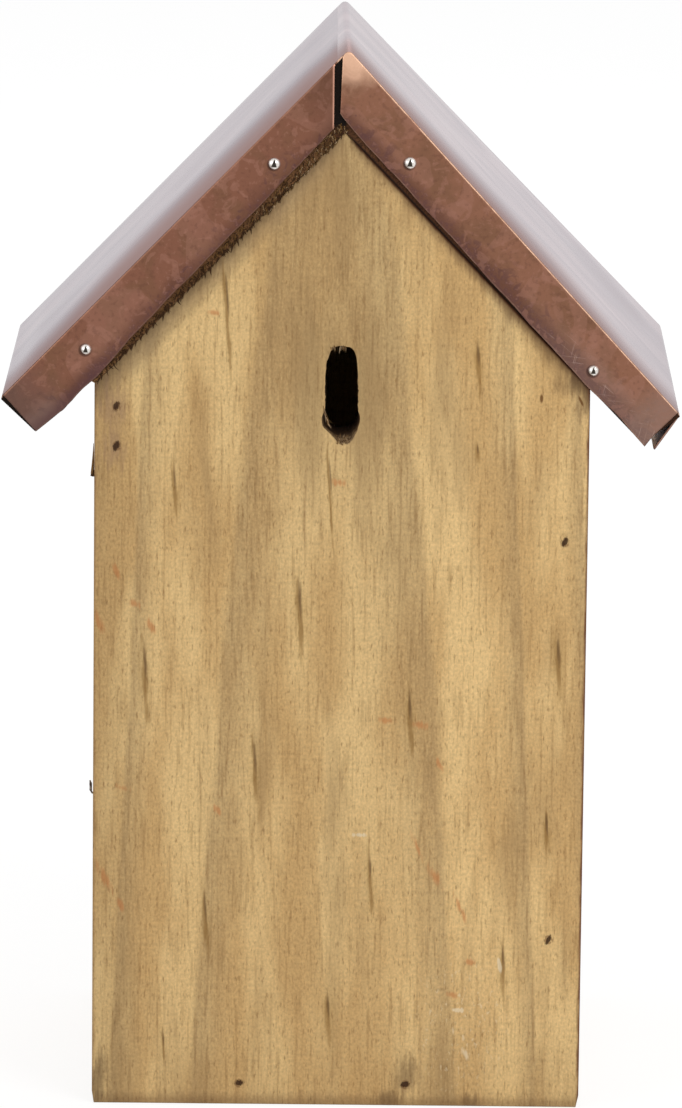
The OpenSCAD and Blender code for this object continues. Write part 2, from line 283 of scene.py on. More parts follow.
floor_material = bpy.data.materials.new("pale_floor")
floor_material.use_nodes = True
floor_tree = floor_material.node_tree
floor_tree.nodes.clear()
seen = seen_directly(floor_tree)
lit = seen.node("BsdfDiffuse", {}, {"Color": FLOOR_GREY})
glow = seen.node("Emission", {}, {"Color": WHITE, "Strength": FLOOR_GLOW})
floor_shader = seen.node("MixShader", {}, {0: seen * FLOOR_SHARE, 1: lit, 2: glow})
floor_end = floor_tree.nodes.new("ShaderNodeOutputMaterial")
floor_tree.links.new(floor_shader.socket, floor_end.inputs["Surface"])
half_floor = FLOOR_SIZE / 2
floor_mesh = bpy.data.meshes.new("floor")
floor_mesh.from_pydata([(x * half_floor * MM, y * half_floor * MM, -FLOOR_GAP * MM)
                        for x, y in ((-1, -1), (1, -1), (1, 1), (-1, 1))], [], [(0, 1, 2, 3)])
floor_mesh.materials.append(floor_material)
floor = bpy.data.objects.new("floor", floor_mesh)
bpy.context.scene.collection.objects.link(floor)
floor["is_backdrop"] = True
print(f"Floor {FLOOR_SIZE / 1000:.0f} m wide, {FLOOR_GAP} mm under the box")

# %% [markdown]
# Shapes here are grids: whole arrays of points that a formula places, with faces between
# neighbours. A few helpers serve every piece. One numbers a grid's faces, and one turns arrays into
# an object that points its faces outwards and rides on its body. Rough edges need noise, so another
# gives smooth random values from a formula, the same in every run.

# %% Helpers for shapes
def grid_faces(rows, columns, close_rows=False, close_columns=False):
    """Corner numbers of each face of a grid; a closed direction joins its last to its first."""
    r = np.arange(rows if close_rows else rows - 1)[:, None]
    c = np.arange(columns if close_columns else columns - 1)[None, :]
    r2, c2 = (r + 1) % rows, (c + 1) % columns
    corners = [r * columns + c, r * columns + c2, r2 * columns + c2, r2 * columns + c]
    return np.stack(np.broadcast_arrays(*corners), axis=-1).reshape(-1, 4)


def volume(points, faces):
    """Six times the space inside a closed mesh: the sum of its corner triples' box products."""
    a, b, c, d = (points[faces[:, k]] for k in range(4))
    return float((np.cross(a, b) * c).sum() + (np.cross(a, c) * d).sum())


def noise(seed, *places):
    """Smooth noise from -1 to 1: each whole-number place has a value, taken from the digits of a
    sine, and the values are blended between places by 3t^2 - 2t^3."""
    places = np.broadcast_arrays(*places)
    whole = [np.floor(p) for p in places]
    soft = [(p - w) ** 2 * (3 - 2 * (p - w)) for p, w in zip(places, whole)]
    total = 0
    for corner in itertools.product((0, 1), repeat=len(places)):
        key, weight = 37.719 * seed, 1
        for w, s, k, prime in zip(whole, soft, corner, (12.9898, 78.233, 37.425)):
            key = key + (w + k) * prime
            weight = weight * (s if k else 1 - s)
        value = np.sin(key) * 43758.5453
        total = total + weight * (value - np.floor(value))
    return 2 * total - 1


def smooth(low, high, value):
    """Smooth step of an array: 0 below low, 1 above high."""
    t = np.clip((value - low) / (high - low), 0, 1)
    return t * t * (3 - 2 * t)


def make_piece(name, points, faces, material, body, slot, crease=40, closed=True, **values):
    """Turns points in millimetres and four-cornered faces into a piece that rides on a body. The
    named values go into attributes that the material reads."""
    if closed and volume(points, faces) < 0:
        faces = faces[:, ::-1]
    mesh = bpy.data.meshes.new(name)
    mesh.from_pydata((points * MM).tolist(), [], faces.tolist())
    mesh.validate()
    for key, value in values.items():
        mesh.attributes.new(key, "FLOAT", "POINT").data.foreach_set("value", value.astype(np.float32))
    mesh.polygons.foreach_set("use_smooth", np.ones(len(mesh.polygons), bool))
    mesh.set_sharp_from_angle(angle=math.radians(crease))
    mesh.materials.append(material)
    piece = bpy.data.objects.new(name, mesh)
    bpy.context.scene.collection.objects.link(piece)
    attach(piece, body)
    print(f"{name}: {len(points)} points, {2 * len(faces)} triangles")
    return piece


print("Noise a quarter apart:", np.round(noise(1, np.arange(0, 1.5, 0.25)), 2))

# %% [markdown]
# Softwood has a pattern with depth: growth rings, each pale on the inside and dark where it ends,
# and fibres that run along the board. A flat texture would break at every edge. So the pattern is
# worked out in three directions, across, through and along the board, and an edge then shows the
# same rings as the face beside it. Far from the tree's middle a ring is nearly a parabola:
# across^2 / (2 radius) + through + tilt * along is the same all over one ring.

# %% Wood
RING_GAP, RING_RADIUS, RING_TILT = 4.6, 212, 0.0107
WOOD_GLOSS = {"Specular IOR Level": 0.15}
PALE, STRAW, LATE = srgb(224, 190, 133), srgb(200, 163, 109), srgb(140, 105, 62)
ASHEN = srgb(160, 132, 92)


def wood(place, normal, middle=0.0, start=0.0, pale=PALE, straw=STRAW, late=LATE, ashen=ASHEN):
    """Colour and relief of a sawn softwood board, from its across, through and along place."""
    across, through, along = place.axes()
    wander = 0.16 * place.noise(0.035, 0.035, 0.012, detail=3) + 0.07 * place.noise(0.5, 0.5, 0.03)
    off = across - middle
    ring = (off * off / (2 * RING_RADIUS) + through + RING_TILT * along + start) / RING_GAP + wander
    phase = ring.math("FRACT", ring)
    dark = phase.step(0.60, 0.93) * phase.step(1.0, 0.93)
    tone = place.noise(0.07, 0.07, 0.016, detail=5).step(0.38, 0.62)
    fibre = place.noise(1.0, 1.0, 0.06, detail=5)
    dashes = place.noise(1.6, 1.6, 0.42, detail=4)
    grit = place.noise(1.5, 1.5, 1.2, detail=2)
    bars = place.noise(0.05, 0.05, 0.9, detail=3)
    colour = tone.blend(pale, straw)
    colour = (dark * (0.12 + 0.75 * fibre)).blend(colour, ashen)
    colour = (fibre.step(0.48, 0.72) * 0.40).blend(colour, late)
    colour = (dashes.step(0.54, 0.74) * 0.65).blend(colour, late)
    colour = (dashes.step(0.44, 0.26) * 0.35).blend(colour, pale)
    colour = (0.59 + 0.66 * grit + 0.16 * bars).times(colour)
    end_on = abs(normal.axes()[2]).step(0.6, 0.9)
    colour = (end_on * 0.45).blend(colour, late)
    height = 0.12 * fibre + 0.08 * dashes + 0.03 * grit
    return colour, height


def turned(place, across, through, along):
    """The same vector with its axes in another order, given as 0, 1 and 2 for X, Y and Z."""
    axes = place.axes()
    return place.node("CombineXYZ", {}, {0: axes[across], 1: axes[through], 2: axes[along]})


def board_material(name, order, middle, start, **look):
    """A board's finish: order says which of its axes lie across, through and along the grain."""
    material, place, normal = begin(name)
    grain, facing = turned(place, *order), turned(normal, *order)
    colour, height = wood(grain, facing, middle, start, **look)
    return finish(material, colour, 0.66 + 0.2 * height, height, constants=WOOD_GLOSS)


print(f"Growth rings {RING_GAP} mm apart, {RING_RADIUS} mm from the tree's middle")

# %% [markdown]
# The front board is where the eye rests. Its left slope was torn by the saw, and its slot was
# drilled and filed. One grid can hold all of that: rays fan out from the slot to the board's
# outline, each ray carries the same number of points, and these run over the face, round the outer
# edge, back along the rear face and out again through the slot's wall. So the board is one
# ring-shaped surface with no seam and no pole. First come the formulas of the slot and the tear.

# %% Front board: slot and torn slope
SLOT_X, SLOT_W, SLOT_TOP, FOOT_Z, FOOT_R = -0.2, 8.4, 205.5, 186.7, 4.6
SLOT_SQUARENESS = 3.8
FAN_Z = 192.5
APEX_OVERLAP, TEAR_BLUR = 1.5, 0.22
TORN_BAND = ((0, 0.2), (8, 0.3), (15, 0.5), (28, 0.4), (36, 0.1), (45, -0.1), (70, -0.25), (93, -0.4))


def slot_reach(direction):
    """How far the slot's wall is from the fan's middle. The slot is |x/a|^p + |z/b|^p = 1, a box
    with filed corners, and its foot is the round hole that a ray leaves after t + root."""
    half_w, half_h = SLOT_W / 2, SLOT_TOP - FAN_Z
    x_part, z_part = np.abs(direction[:, 0]) / half_w, np.abs(direction[:, 1]) / half_h
    slot = (x_part ** SLOT_SQUARENESS + z_part ** SLOT_SQUARENESS) ** (-1 / SLOT_SQUARENESS)
    drop = FAN_Z - FOOT_Z
    t = -direction[:, 1] * drop
    root = FOOT_R ** 2 - drop ** 2 + t ** 2
    foot = np.where(root > 0, t + np.sqrt(np.maximum(root, 0)), 0)
    return np.where(direction[:, 1] > -0.75, np.maximum(slot, foot), foot)


def below_slope(x, z):
    """How deep a point lies under the roof boards' underside, square to it."""
    return (APEX_Z - z) * COS - np.abs(x) * SIN


def down_slope(x, z):
    """How far a point lies from the apex, down the slope."""
    return np.abs(x) * COS + (APEX_Z - z) * SIN


def torn_share(x, z):
    """How torn the face is at a point, from 0 to 1: the band along the left slope ends in teeth as
    wide as the fibres, and it narrows towards the eave."""
    band = np.interp(down_slope(x, z), *zip(*TORN_BAND))
    teeth = 0.5 * noise(3, x * 1.3, z * 0.05) + 0.5 * noise(4, x * 2.9, z * 0.08)
    edge = band * (1 + 0.3 * noise(2, x * 0.3)) + 0.8 * teeth
    torn_side = x < APEX_OVERLAP
    return np.where(torn_side, smooth(TEAR_BLUR, -TEAR_BLUR, below_slope(x, z) - edge), 0)


print(f"Slot {SLOT_W} mm wide and {SLOT_TOP - FOOT_Z + FOOT_R:.1f} mm high")

# %% [markdown]
# The rays' far ends are the board's outline. Two of its seven corners lie low on each side, where
# the sharp bottom corners are worn away. The near ends are the slot's rim, which is cut back below
# the slot, where a file slipped, and which is ragged where fibres broke out.

# %% Front board: outline and rays
WORN_CORNER = 3.2
WORN_RIGHT_BY, WORN_LEFT_BY = 0.7, 0.5
SIDE_STEPS = (6, 54, 130, 400, 104, 6, 80)
FOOT_DEG, TOP_DEG = -84, 106

corners = np.array([(HALF_W - WORN_RIGHT_BY, 0), (HALF_W, WORN_CORNER), (HALF_W, WALL_Z), (0, APEX_Z),
                    (-HALF_W, WALL_Z), (-HALF_W, WORN_CORNER), (WORN_LEFT_BY - HALF_W, 0)])
sides = zip(corners, np.roll(corners, -1, axis=0), SIDE_STEPS)
outline = np.concatenate([a + (b - a) * np.linspace(0, 1, n, endpoint=False)[:, None]
                          for a, b, n in sides])
fan = np.array([SLOT_X, FAN_Z])
reach = np.linalg.norm(outline - fan, axis=1)
ray = (outline - fan) / reach[:, None]
angle = np.degrees(np.arctan2(ray[:, 1], ray[:, 0]))
wall_in = slot_reach(ray) + 0.12 * noise(5, angle / 6)


def around(centre, width):
    """A soft bump in the ray's angle, 1 at its centre."""
    off = (angle - centre + 180) % 360 - 180
    return np.exp(-(off / width) ** 2)


bevel = 0.2 + 2.3 * around(FOOT_DEG, 16) + 0.8 * around(-125, 14) + 0.3 * around(-50, 12)
ragged = around(TOP_DEG, 9) * (0.45 * noise(6, angle / 1.9) - 0.15)
ragged = ragged + 0.35 * around(FOOT_DEG - 2, 16) * noise(7, angle / 2.5)
rim = wall_in + bevel + ragged
print(f"Rim of the slot {bevel.min():.1f} to {bevel.max():.1f} mm outside its wall")

# %% [markdown]
# Each row of points has a distance from the fan's middle and a depth below the face. Rows are close
# together at the rim and at the outer edge, where something happens, and far apart between them.
# The torn band is pressed in a little, and the whole face sways by a few hundredths.

# %% Front board: rows of points
ARRIS = 0.4
NEAR_SLOT = (0, 0.2, 0.4, 0.7, 1.1, 1.6, 2.3, 3.3, 4.8, 7)
NEAR_EDGE = (7, 5.6, 4.7, 4.2, 3.9, 3.6, 3.3, 3.0, 2.75, 2.5, 2.25, 2.0, 1.75, 1.5, 1.25, 1, 0.75, 0.55,
             ARRIS)
MIDDLE_STEPS, WALL_STEPS, BACK_STEPS = 22, 7, 9
SLOT_DEPTHS = (11.7, 10, 8, 6, 5, 4, 3.2, 2.4, 1.6, 0.8, 0.3)
BACK_RIM = 0.3

near_slot, near_edge, slot_down = (np.array(row) for row in (NEAR_SLOT, NEAR_EDGE, SLOT_DEPTHS))
span = reach - rim - near_slot[-1] - near_edge[0]
middle = np.linspace(0, 1, MIDDLE_STEPS + 1)[1:-1, None] * span + near_slot[-1]
front_rows = np.concatenate([near_slot[:, None] + 0 * span, middle,
                             reach - rim - near_edge[:, None]]) + rim
round_edge = np.radians([30, 60, 90])
edge_in, edge_down = ARRIS * (1 - np.sin(round_edge)), ARRIS * (1 - np.cos(round_edge))
thick = INNER_Y - FRONT_Y
wall_down = np.linspace(ARRIS, thick - ARRIS, WALL_STEPS)[1:-1]
outer_rows = reach - np.concatenate([edge_in, 0 * wall_down, edge_in[::-1], [ARRIS]])[:, None]
outer_down = np.concatenate([edge_down, wall_down, thick - edge_down[::-1], [thick]])
back_share = np.linspace(1, 0, BACK_STEPS)[1:, None]
back_rows = wall_in + BACK_RIM + back_share * (reach - ARRIS - wall_in - BACK_RIM)
opening = smooth(3.6, 0.0, slot_down)[:, None] ** 1.3
rough_wall = 0.25 * noise(8, angle / 7, 0.9 * slot_down[:, None]) * smooth(12, 9, slot_down)[:, None]
slot_rows = wall_in + opening * (rim - wall_in) + rough_wall
distance = np.concatenate([front_rows, outer_rows, back_rows, slot_rows])
down = np.concatenate([np.zeros(len(front_rows)), outer_down, np.full(len(back_rows), thick), slot_down])
plane = fan + distance[..., None] * ray
x, z = plane[..., 0], plane[..., 1]
torn = torn_share(x, z)
front_count = len(front_rows) + len(round_edge)
is_front = (down[:, None] <= ARRIS) & (np.arange(len(down)) < front_count)[:, None]
torn = torn * is_front
recess = torn * (0.55 + 0.25 * noise(9, x * 3.0, z * 0.5) + 0.2 * noise(10, x * 6.5, z * 1.2))
sway = 0.05 * noise(11, x * 0.06, z * 0.02) + 0.02 * noise(12, x * 0.5, z * 0.03)
y = FRONT_Y + down[:, None] + is_front * (recess + np.maximum(sway, -0.02))
slot_torn = np.zeros_like(torn)
slot_torn[-len(slot_rows):] = opening * (around(FOOT_DEG, 24) + around(-128, 18) + around(TOP_DEG, 16))
slot_torn[:3] = (around(FOOT_DEG, 18) + 0.6 * around(TOP_DEG, 16)) * np.array([1, 0.6, 0.2])[:, None]
# How deep a point lies in the slot; the material turns it into painted shade.
in_slot = np.zeros_like(torn)
in_slot[-len(slot_rows):] = smooth(0.0, 2.6, slot_down)[:, None]
board_points = np.stack([x, y, z], axis=-1).reshape(-1, 3)
board_faces = grid_faces(len(down), len(outline), close_rows=True, close_columns=True)
print(f"Front board's fan: {len(outline)} rays of {len(down)} points")

# %% [markdown]
# The board's finish starts as plain wood. Then comes what years in a shed did to it. Short dark streaks are
# resin pockets, small orange stains are rust, and two small holes near the right eave are only painted:
# their dark brown is painted shade. A mark is a stretched distance: take the way from the mark's middle,
# divide it by the mark's width and height, and its length is 1 on the mark's edge. The smallest such length
# over all marks draws them all with one soft threshold.

# %% Marks on the front board
RESIN = ((-43.8, 167, 0.8, 8), (-51.4, 116.5, 1.05, 11.5), (-10.6, 134, 1.05, 14), (-22.1, 91, 0.95, 10),
         (-35, 51, 0.8, 9), (8.7, 62.7, 0.8, 8.7), (18.8, 105.5, 1.05, 10.5), (35.4, 202, 0.95, 8),
         (35.7, 177.5, 0.55, 3.5), (57.7, 121.5, 1.2, 11.5), (55.5, 74.7, 0.8, 6.7), (44.3, 38.2, 0.95, 8.7),
         (-2.1, 24.7, 0.95, 8.2), (-30.3, 214, 0.7, 14), (-2.9, 166, 0.5, 14), (-46, 16, 0.45, 6))
RUST = ((21.2, 71, 0.9, 4.4), (26, 63, 1.4, 3.4), (32.8, 54.4, 0.8, 4.6), (26.9, 93.5, 0.9, 2.2),
        (35.6, 39.8, 1.8, 1.0), (30.9, 30.7, 1.6, 1.2), (-61.8, 62, 1.4, 4.4), (-57.4, 54.4, 1.0, 2.2),
        (-57.3, 86.4, 1.9, 1.4), (-31.8, 80.6, 1.0, 1.5), (-0.6, 169.4, 2.0, 1.2), (-59.1, 145, 1.0, 2.6),
        (-54.1, 136.2, 1.3, 1.3), (-49.6, 130, 1.2, 2.4), (-63.6, 131.2, 1.3, 4.0), (12.6, 105.4, 2.0, 1.0),
        (21, 104.3, 2.6, 1.4), (-33.9, 214.3, 1.6, 0.8))
HOLE, SLANTED_HOLE, HOLE_SLANT = (52.3, 192.3, 0.55, 1.4), (62.6, 191.7, 0.45, 1.7), 0.43
SCUFFS = ((32.5, 26.5, 2.4, 0.9), (34.5, 14.5, 0.9, 2.2), (5.9, 74.2, 2.2, 0.8), (43.5, 39, 0.8, 2.6))
SMUDGES = ((14.5, 1.5, 5, 3.2), (36, 1.2, 3, 3), (19, 8.5, 4.5, 7), (-63, 8, 3, 9), (64, 190, 3, 5),
           (61, 196, 7, 4))
CHIPPED = (33, 22, 17, 24)
AROUND_SLOT = (-1, 196, 17, 30)
NAILS = ((-59, 189.1), (-59, 178.6), (59, 153.9), (56.3, 46.1), (-25.7, 5.8), (18.7, 5.8))
NAIL_DIRT = ((-59.3, 189.1, 0.75, 1.5), (-59.2, 178.6, 0.9, 1.4), (59, 154, 0.7, 1.5),
             (56.3, 46.1, 0.6, 1.3), (-25.7, 5.9, 1.2, 0.8), (18.7, 5.9, 1.2, 0.9))
RESIN_SLANT, NAIL_SLANT = 0.07, -0.35


def resized(marks, raised, wider, taller):
    """Marks raised by this share of their height, and made this many times as wide and tall."""
    return [(x_mid, z_mid + raised * half_h, wider * half_w, taller * half_h)
            for x_mid, z_mid, half_w, half_h in marks]


def nearest_mark(place, marks, slant=0.0):
    """How far the nearest mark's middle is, where 1 is its edge. A mark is x, z, half width and half
    height, and a slanted one moves right by this much for each millimetre down."""
    if slant:
        x, y, z = place.axes()
        place = place.node("CombineXYZ", {}, {0: x + slant * z, 1: y, 2: z})
    nearest = None
    for x_mid, z_mid, half_w, half_h in marks:
        off = place.vector("SUBTRACT", place, (x_mid + slant * z_mid, 0, z_mid))
        scaled = off.vector("MULTIPLY", off, (1 / half_w, 0, 1 / half_h))
        far = scaled.node("VectorMath", {"operation": "LENGTH"}, {0: scaled}, out=1)
        nearest = nearest.smaller(far) if nearest else far
    return nearest


def value_of(wire, name):
    """A value that was stored with the mesh, read back as a wire."""
    return wire.node("Attribute", {"attribute_name": name}, {}, out=2)


material, place, normal = begin("front_board_wood")
colour, height = wood(place, normal, middle=-3.3, start=56.23)
across, through, along = place.axes()
frayed = place.noise(0.9, 0.9, 0.12, detail=4) - 0.5
resin = [nearest_mark(place, resized(RESIN, *change), RESIN_SLANT)
         for change in ((0.35, 0.55, 0.5), (-0.1, 0.9, 1.15), (0, 2.2, 1.2))]
core = (resin[0] + 2.0 * frayed).step(1.2, 0.1)
tail = (resin[1] + 2.2 * frayed).step(1.1, 0.2)
halo = (resin[2] + 1.2 * frayed).step(1.1, 0.1)
rust = (nearest_mark(place, RUST, 0.4) + 2.6 * frayed).step(1.1, 0.2)
scuffs = (nearest_mark(place, SCUFFS, 0.2) + 2.6 * frayed).step(0.9, 0.4)
smudges = (nearest_mark(place, SMUDGES) + 2.0 * frayed).step(1.1, 0.2)
nearest_hole = nearest_mark(place, (SLANTED_HOLE,), HOLE_SLANT).smaller(nearest_mark(place, (HOLE,)))
holes = (nearest_hole + 0.8 * frayed).step(1.1, 0.5)
chips = place.noise(1.3, 1.3, 0.55, detail=3, twist=0.5).step(0.60, 0.66)
chipped = nearest_mark(place, (CHIPPED,)).step(1.0, 0.4)
round_slot = nearest_mark(place, (AROUND_SLOT,)).step(1.2, 0.3)
print(len(RESIN), "resin pockets and", len(RUST), "rust stains")

# %% [markdown]
# A board under a roof is darkest just below it, where dirt gathers and shade falls. So two values tell how
# deep a point lies below the left and the right slope, and soft steps of them darken the wood. This is
# painted shade under the roof, mixed with grime, and a thin dark line at the foot of the right slope is a
# painted shadow in the gap there. They are frayed with the same noise as the marks, as dirt creeps along the
# grain.

# %% Painted shade, grime and colour on the front board
grey_clouds = place.noise(0.11, 0.11, 0.018, detail=4, twist=0.3)
near_top = along.step(205, 255)
left_depth = (APEX_Z - along) * COS + across * SIN
right_depth = (APEX_Z - along) * COS - across * SIN
left_halo = (left_depth + 8 * (grey_clouds - 0.5)).step(7, 0.5) * across.step(4, -6)
# right_halo, and under_left, close_left, under_right and close_right below, darken the wood under the
# slopes: painted shade under the roof, mixed with grime.
right_halo = (right_depth + 9 * (grey_clouds - 0.5) + 3 * frayed).step(4.5, 0.3) * across.step(12, 40)
greyed = (grey_clouds + 0.06 * near_top + 0.14 * round_slot).step(0.50, 0.78)
colour = (greyed * 0.50).blend(colour, srgb(152, 122, 82))
colour = (left_halo * 0.45).blend(colour, srgb(146, 124, 96))
colour = (right_halo * 0.55).blend(colour, srgb(108, 84, 54))
under_left = 0.30 * (left_depth + 3 * frayed).step(6.5, 3.2) * across.step(-12, -28)
close_left = (left_depth + 3.5 * frayed).step(3.2, 0.2) * across.step(2, -4)
under_left = under_left + close_left * (0.46 - 0.12 * across.step(-34, -44))
colour = under_left.blend(colour, srgb(88, 66, 42))
under_right = (right_depth + 3.0 * frayed).step(3.2, 0.5) * across.step(0.5, 3)
colour = (under_right * (0.42 + 0.14 * across.step(20, 45))).blend(colour, srgb(92, 66, 44))
close_right = (right_depth + 1.5 * frayed).step(1.9, 0.7) * across.step(0.5, 3)
colour = (close_right * 0.25).blend(colour, srgb(84, 56, 32))
# A painted shadow: a thin dark line in the gap at the foot of the right slope.
foot_shadow_line = (right_depth + 0.6 * frayed).step(0.95, 0.2) * across.step(0.5, 3)
colour = (foot_shadow_line * 0.93).blend(colour, srgb(58, 22, 2))
arris = (HALF_W - abs(across) + 1.4 * frayed).step(0.9, 0.1) * (0.35 + 0.55 * across.step(-1, 1))
colour = (arris * through.step(FRONT_Y + 1.6, FRONT_Y + 0.5)).blend(colour, srgb(94, 50, 34))
colour = (rust * 0.6).blend(colour, srgb(192, 122, 70))
colour = (halo * 0.22).blend(colour, srgb(158, 122, 64))
colour = (tail * 0.65).blend(colour, srgb(136, 100, 50))
colour = (core * 0.6).blend(colour, srgb(88, 64, 44))
colour = (chips * chipped * 0.45).blend(colour, srgb(226, 208, 172))
colour = (scuffs * 0.6).blend(colour, srgb(230, 214, 182))
colour = (smudges * 0.5).blend(colour, srgb(86, 62, 42))
# The holes have no depth: their dark brown is painted shade.
colour = (holes * 0.85).blend(colour, srgb(98, 60, 24))
colour = ((along + 3 * frayed).step(4.2, 0.4) * 0.5).blend(colour, srgb(112, 82, 54))
lightness = 1.0 + 0.08 * across.step(8, 36) - 0.13 * across.step(-50, -62) - 0.08 * round_slot
lightness = lightness - 0.09 * along.step(30, 6) * (0.5 + 0.5 * across.step(0, 30))
colour = lightness.times(colour)
print("Grime under both slopes, and the board darker towards its left edge and its foot")

# %% [markdown]
# The nails' dirt, the torn band and the slot's walls come last, as they lie over everything else. The slot's
# walls are darker end grain near the rim and painted shade, nearly black, deeper in. Where the wood is torn
# was worked out with the shape and stored in the mesh, and the material reads it from there, so the colour
# always fits the form.

# %% Nails, torn wood and the slot's walls
def nail_grime(place):
    """Small specks, and how dirty each place round the front nails is."""
    specks = place.noise(2.2, 2.2, 0.9, detail=3)
    return specks, (nearest_mark(place, NAIL_DIRT, NAIL_SLANT) + 2.0 * (specks - 0.5)).step(1.15, 0.7)


specks, nail_dirt = nail_grime(place)
around_upper = [(x_mid - 1, z_mid, 5, 9) for x_mid, z_mid in NAILS[:2]]
nail_halo = (nearest_mark(place, around_upper) + 2.2 * frayed).step(1.0, 0.1)
nail_ring = nearest_mark(place, [(x_mid, z_mid, 1, 1) for x_mid, z_mid in NAILS]).step(1.5, 1.0)
colour = (nail_halo * 0.45).blend(colour, srgb(142, 112, 92))
colour = (nail_ring * specks.step(0.40, 0.55) * 0.7).blend(colour, srgb(118, 82, 50))
colour = (nail_dirt * 0.92).blend(colour, srgb(52, 28, 12))
torn_wood = value_of(place, "torn")
torn_grain = place.noise(2.8, 2.8, 0.3, detail=4)
torn_colour = torn_grain.step(0.38, 0.60).blend(srgb(52, 34, 17), srgb(134, 102, 60))
colour = (torn_wood * 0.92).blend(colour, torn_colour)
# The slot's wall: darker end grain near the rim, then painted shade, nearly black, deeper in.
slot_wall_and_shade = value_of(place, "in_slot")
colour = (slot_wall_and_shade.step(0.0, 0.25) * 0.9).blend(colour, srgb(84, 58, 34))
colour = (slot_wall_and_shade.step(0.2, 1.0) * 0.9).blend(colour, srgb(34, 20, 11))
broken_wood = specks.step(0.4, 0.6).blend(srgb(78, 58, 42), srgb(150, 124, 92))
colour = (value_of(place, "slot_torn").step(0.1, 0.8) * 0.7).blend(colour, broken_wood)
height = height + 0.3 * (torn_wood * torn_grain) - 0.05 * tail
front_wood = finish(material, colour, 0.62 + 0.2 * height, height, constants=WOOD_GLOSS)
front_board = make_piece("front_board", board_points, board_faces, front_wood, "box", "box_wood",
                         torn=torn.ravel(), in_slot=in_slot.ravel(), slot_torn=slot_torn.ravel())
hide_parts("front_panel")

# %% [markdown]
# Each nail was punched a little below the wood, so its head sits in a small pit. Pits can be drilled
# as the carpenter did it: a Boolean modifier takes six short round bars out of the board. The result
# is kept as the board's mesh, and the bars are thrown away.

# %% Nail pits
PIT_R, PIT_DEPTH, PIT_SIDES = 1.0, 1.2, 20


def round_bars(places, radius, y_from, y_to, sides):
    """Closed round bars along Y, one at each place, as points and faces."""
    turn_by = np.linspace(0, 2 * math.pi, sides, endpoint=False)
    ring_xz = radius * np.stack([np.cos(turn_by), np.sin(turn_by)], axis=-1)
    points, faces = [], []
    for k, middle in enumerate(places):
        for y_end in (y_from, y_to):
            points += [(px, y_end, pz) for px, pz in ring_xz + middle]
        low = 2 * sides * k
        faces += [[low + i, low + (i + 1) % sides, low + sides + (i + 1) % sides, low + sides + i]
                  for i in range(sides)]
        faces += [list(range(low + sides - 1, low - 1, -1)), list(range(low + sides, low + 2 * sides))]
    return points, faces


bars = bpy.data.meshes.new("pit_bars")
bar_points, bar_faces = round_bars(NAILS, PIT_R, FRONT_Y - 1, FRONT_Y + PIT_DEPTH, PIT_SIDES)
bars.from_pydata((np.array(bar_points) * MM).tolist(), [], bar_faces)
cutter = bpy.data.objects.new("pit_bars", bars)
bpy.context.scene.collection.objects.link(cutter)
pits = front_board.modifiers.new("pits", "BOOLEAN")
pits.operation, pits.object, pits.solver = "DIFFERENCE", cutter, "EXACT"
evaluated = front_board.evaluated_get(bpy.context.evaluated_depsgraph_get())
drilled = bpy.data.meshes.new_from_object(evaluated)
front_board.modifiers.clear()
front_board.data = drilled
bpy.data.objects.remove(cutter)
print(f"Front board after drilling {len(NAILS)} pits: {len(drilled.vertices)} points")

# %% [markdown]
# The copper cover is one sheet: it goes over the ridge, folds down over both eaves, and its front
# and back margins fold down over the boards' ends. On paper such a sheet is a rectangle with slits,
# so one grid makes it here as well. Its rows follow the cross-section from eave to eave and
# its columns run from the front margin's edge over the top to the back margin's edge. The grid's
# faces at the slits and corners are left out, and the Solidify modifier gives the sheet its wall.

# %% Copper sheet: the cross-section
FOLD_R, EAVE_R = 0.5, 1.2
FOLD_Y = 60.0
EAVE_S = 113.57
SPLAY = {-1: 0.0, 1: math.radians(11.5)}
FLAP_LEN = {-1: 11.2, 1: 10.8}
SLIT_TOP_X = {-1: -3.8, 1: -1.7}
SLIT_FOOT = {-1: (-3.0, 263.4), 1: (-1.4, 267.0)}


def on_slope(side, s, n):
    """The X and Z of a point s down a slope from the apex and n square to it."""
    return side * (s * COS + n * SIN), APEX_Z - s * SIN + n * COS


def slope_rows(side, first, last, count):
    """Points along a slope's outer face, closer together near both ends."""
    even = np.linspace(0, 1, count)
    share = 0.4 * (0.5 - 0.5 * np.cos(math.pi * even)) + 0.6 * even
    return np.stack(on_slope(side, first + (last - first) * share, SHEET_N), axis=-1)


def eave_rows(side, steps=6, flap_steps=6):
    """The bend over an eave, and the flap below it: a round of EAVE_R and then a straight line."""
    middle = np.array(on_slope(side, EAVE_S - EAVE_R, SHEET_N - EAVE_R))
    outward, down_it = np.array([side * SIN, COS]), np.array([side * COS, -SIN])
    turn_by = np.linspace(0, math.pi / 2 - SPLAY[side], steps + 1)[1:, None]
    bend = middle + EAVE_R * (np.cos(turn_by) * outward + np.sin(turn_by) * down_it)
    way = math.cos(SPLAY[side]) * -outward + math.sin(SPLAY[side]) * down_it
    flap = bend[-1] + np.linspace(0, FLAP_LEN[side], flap_steps + 1)[1:, None] * way
    return np.concatenate([bend, flap])


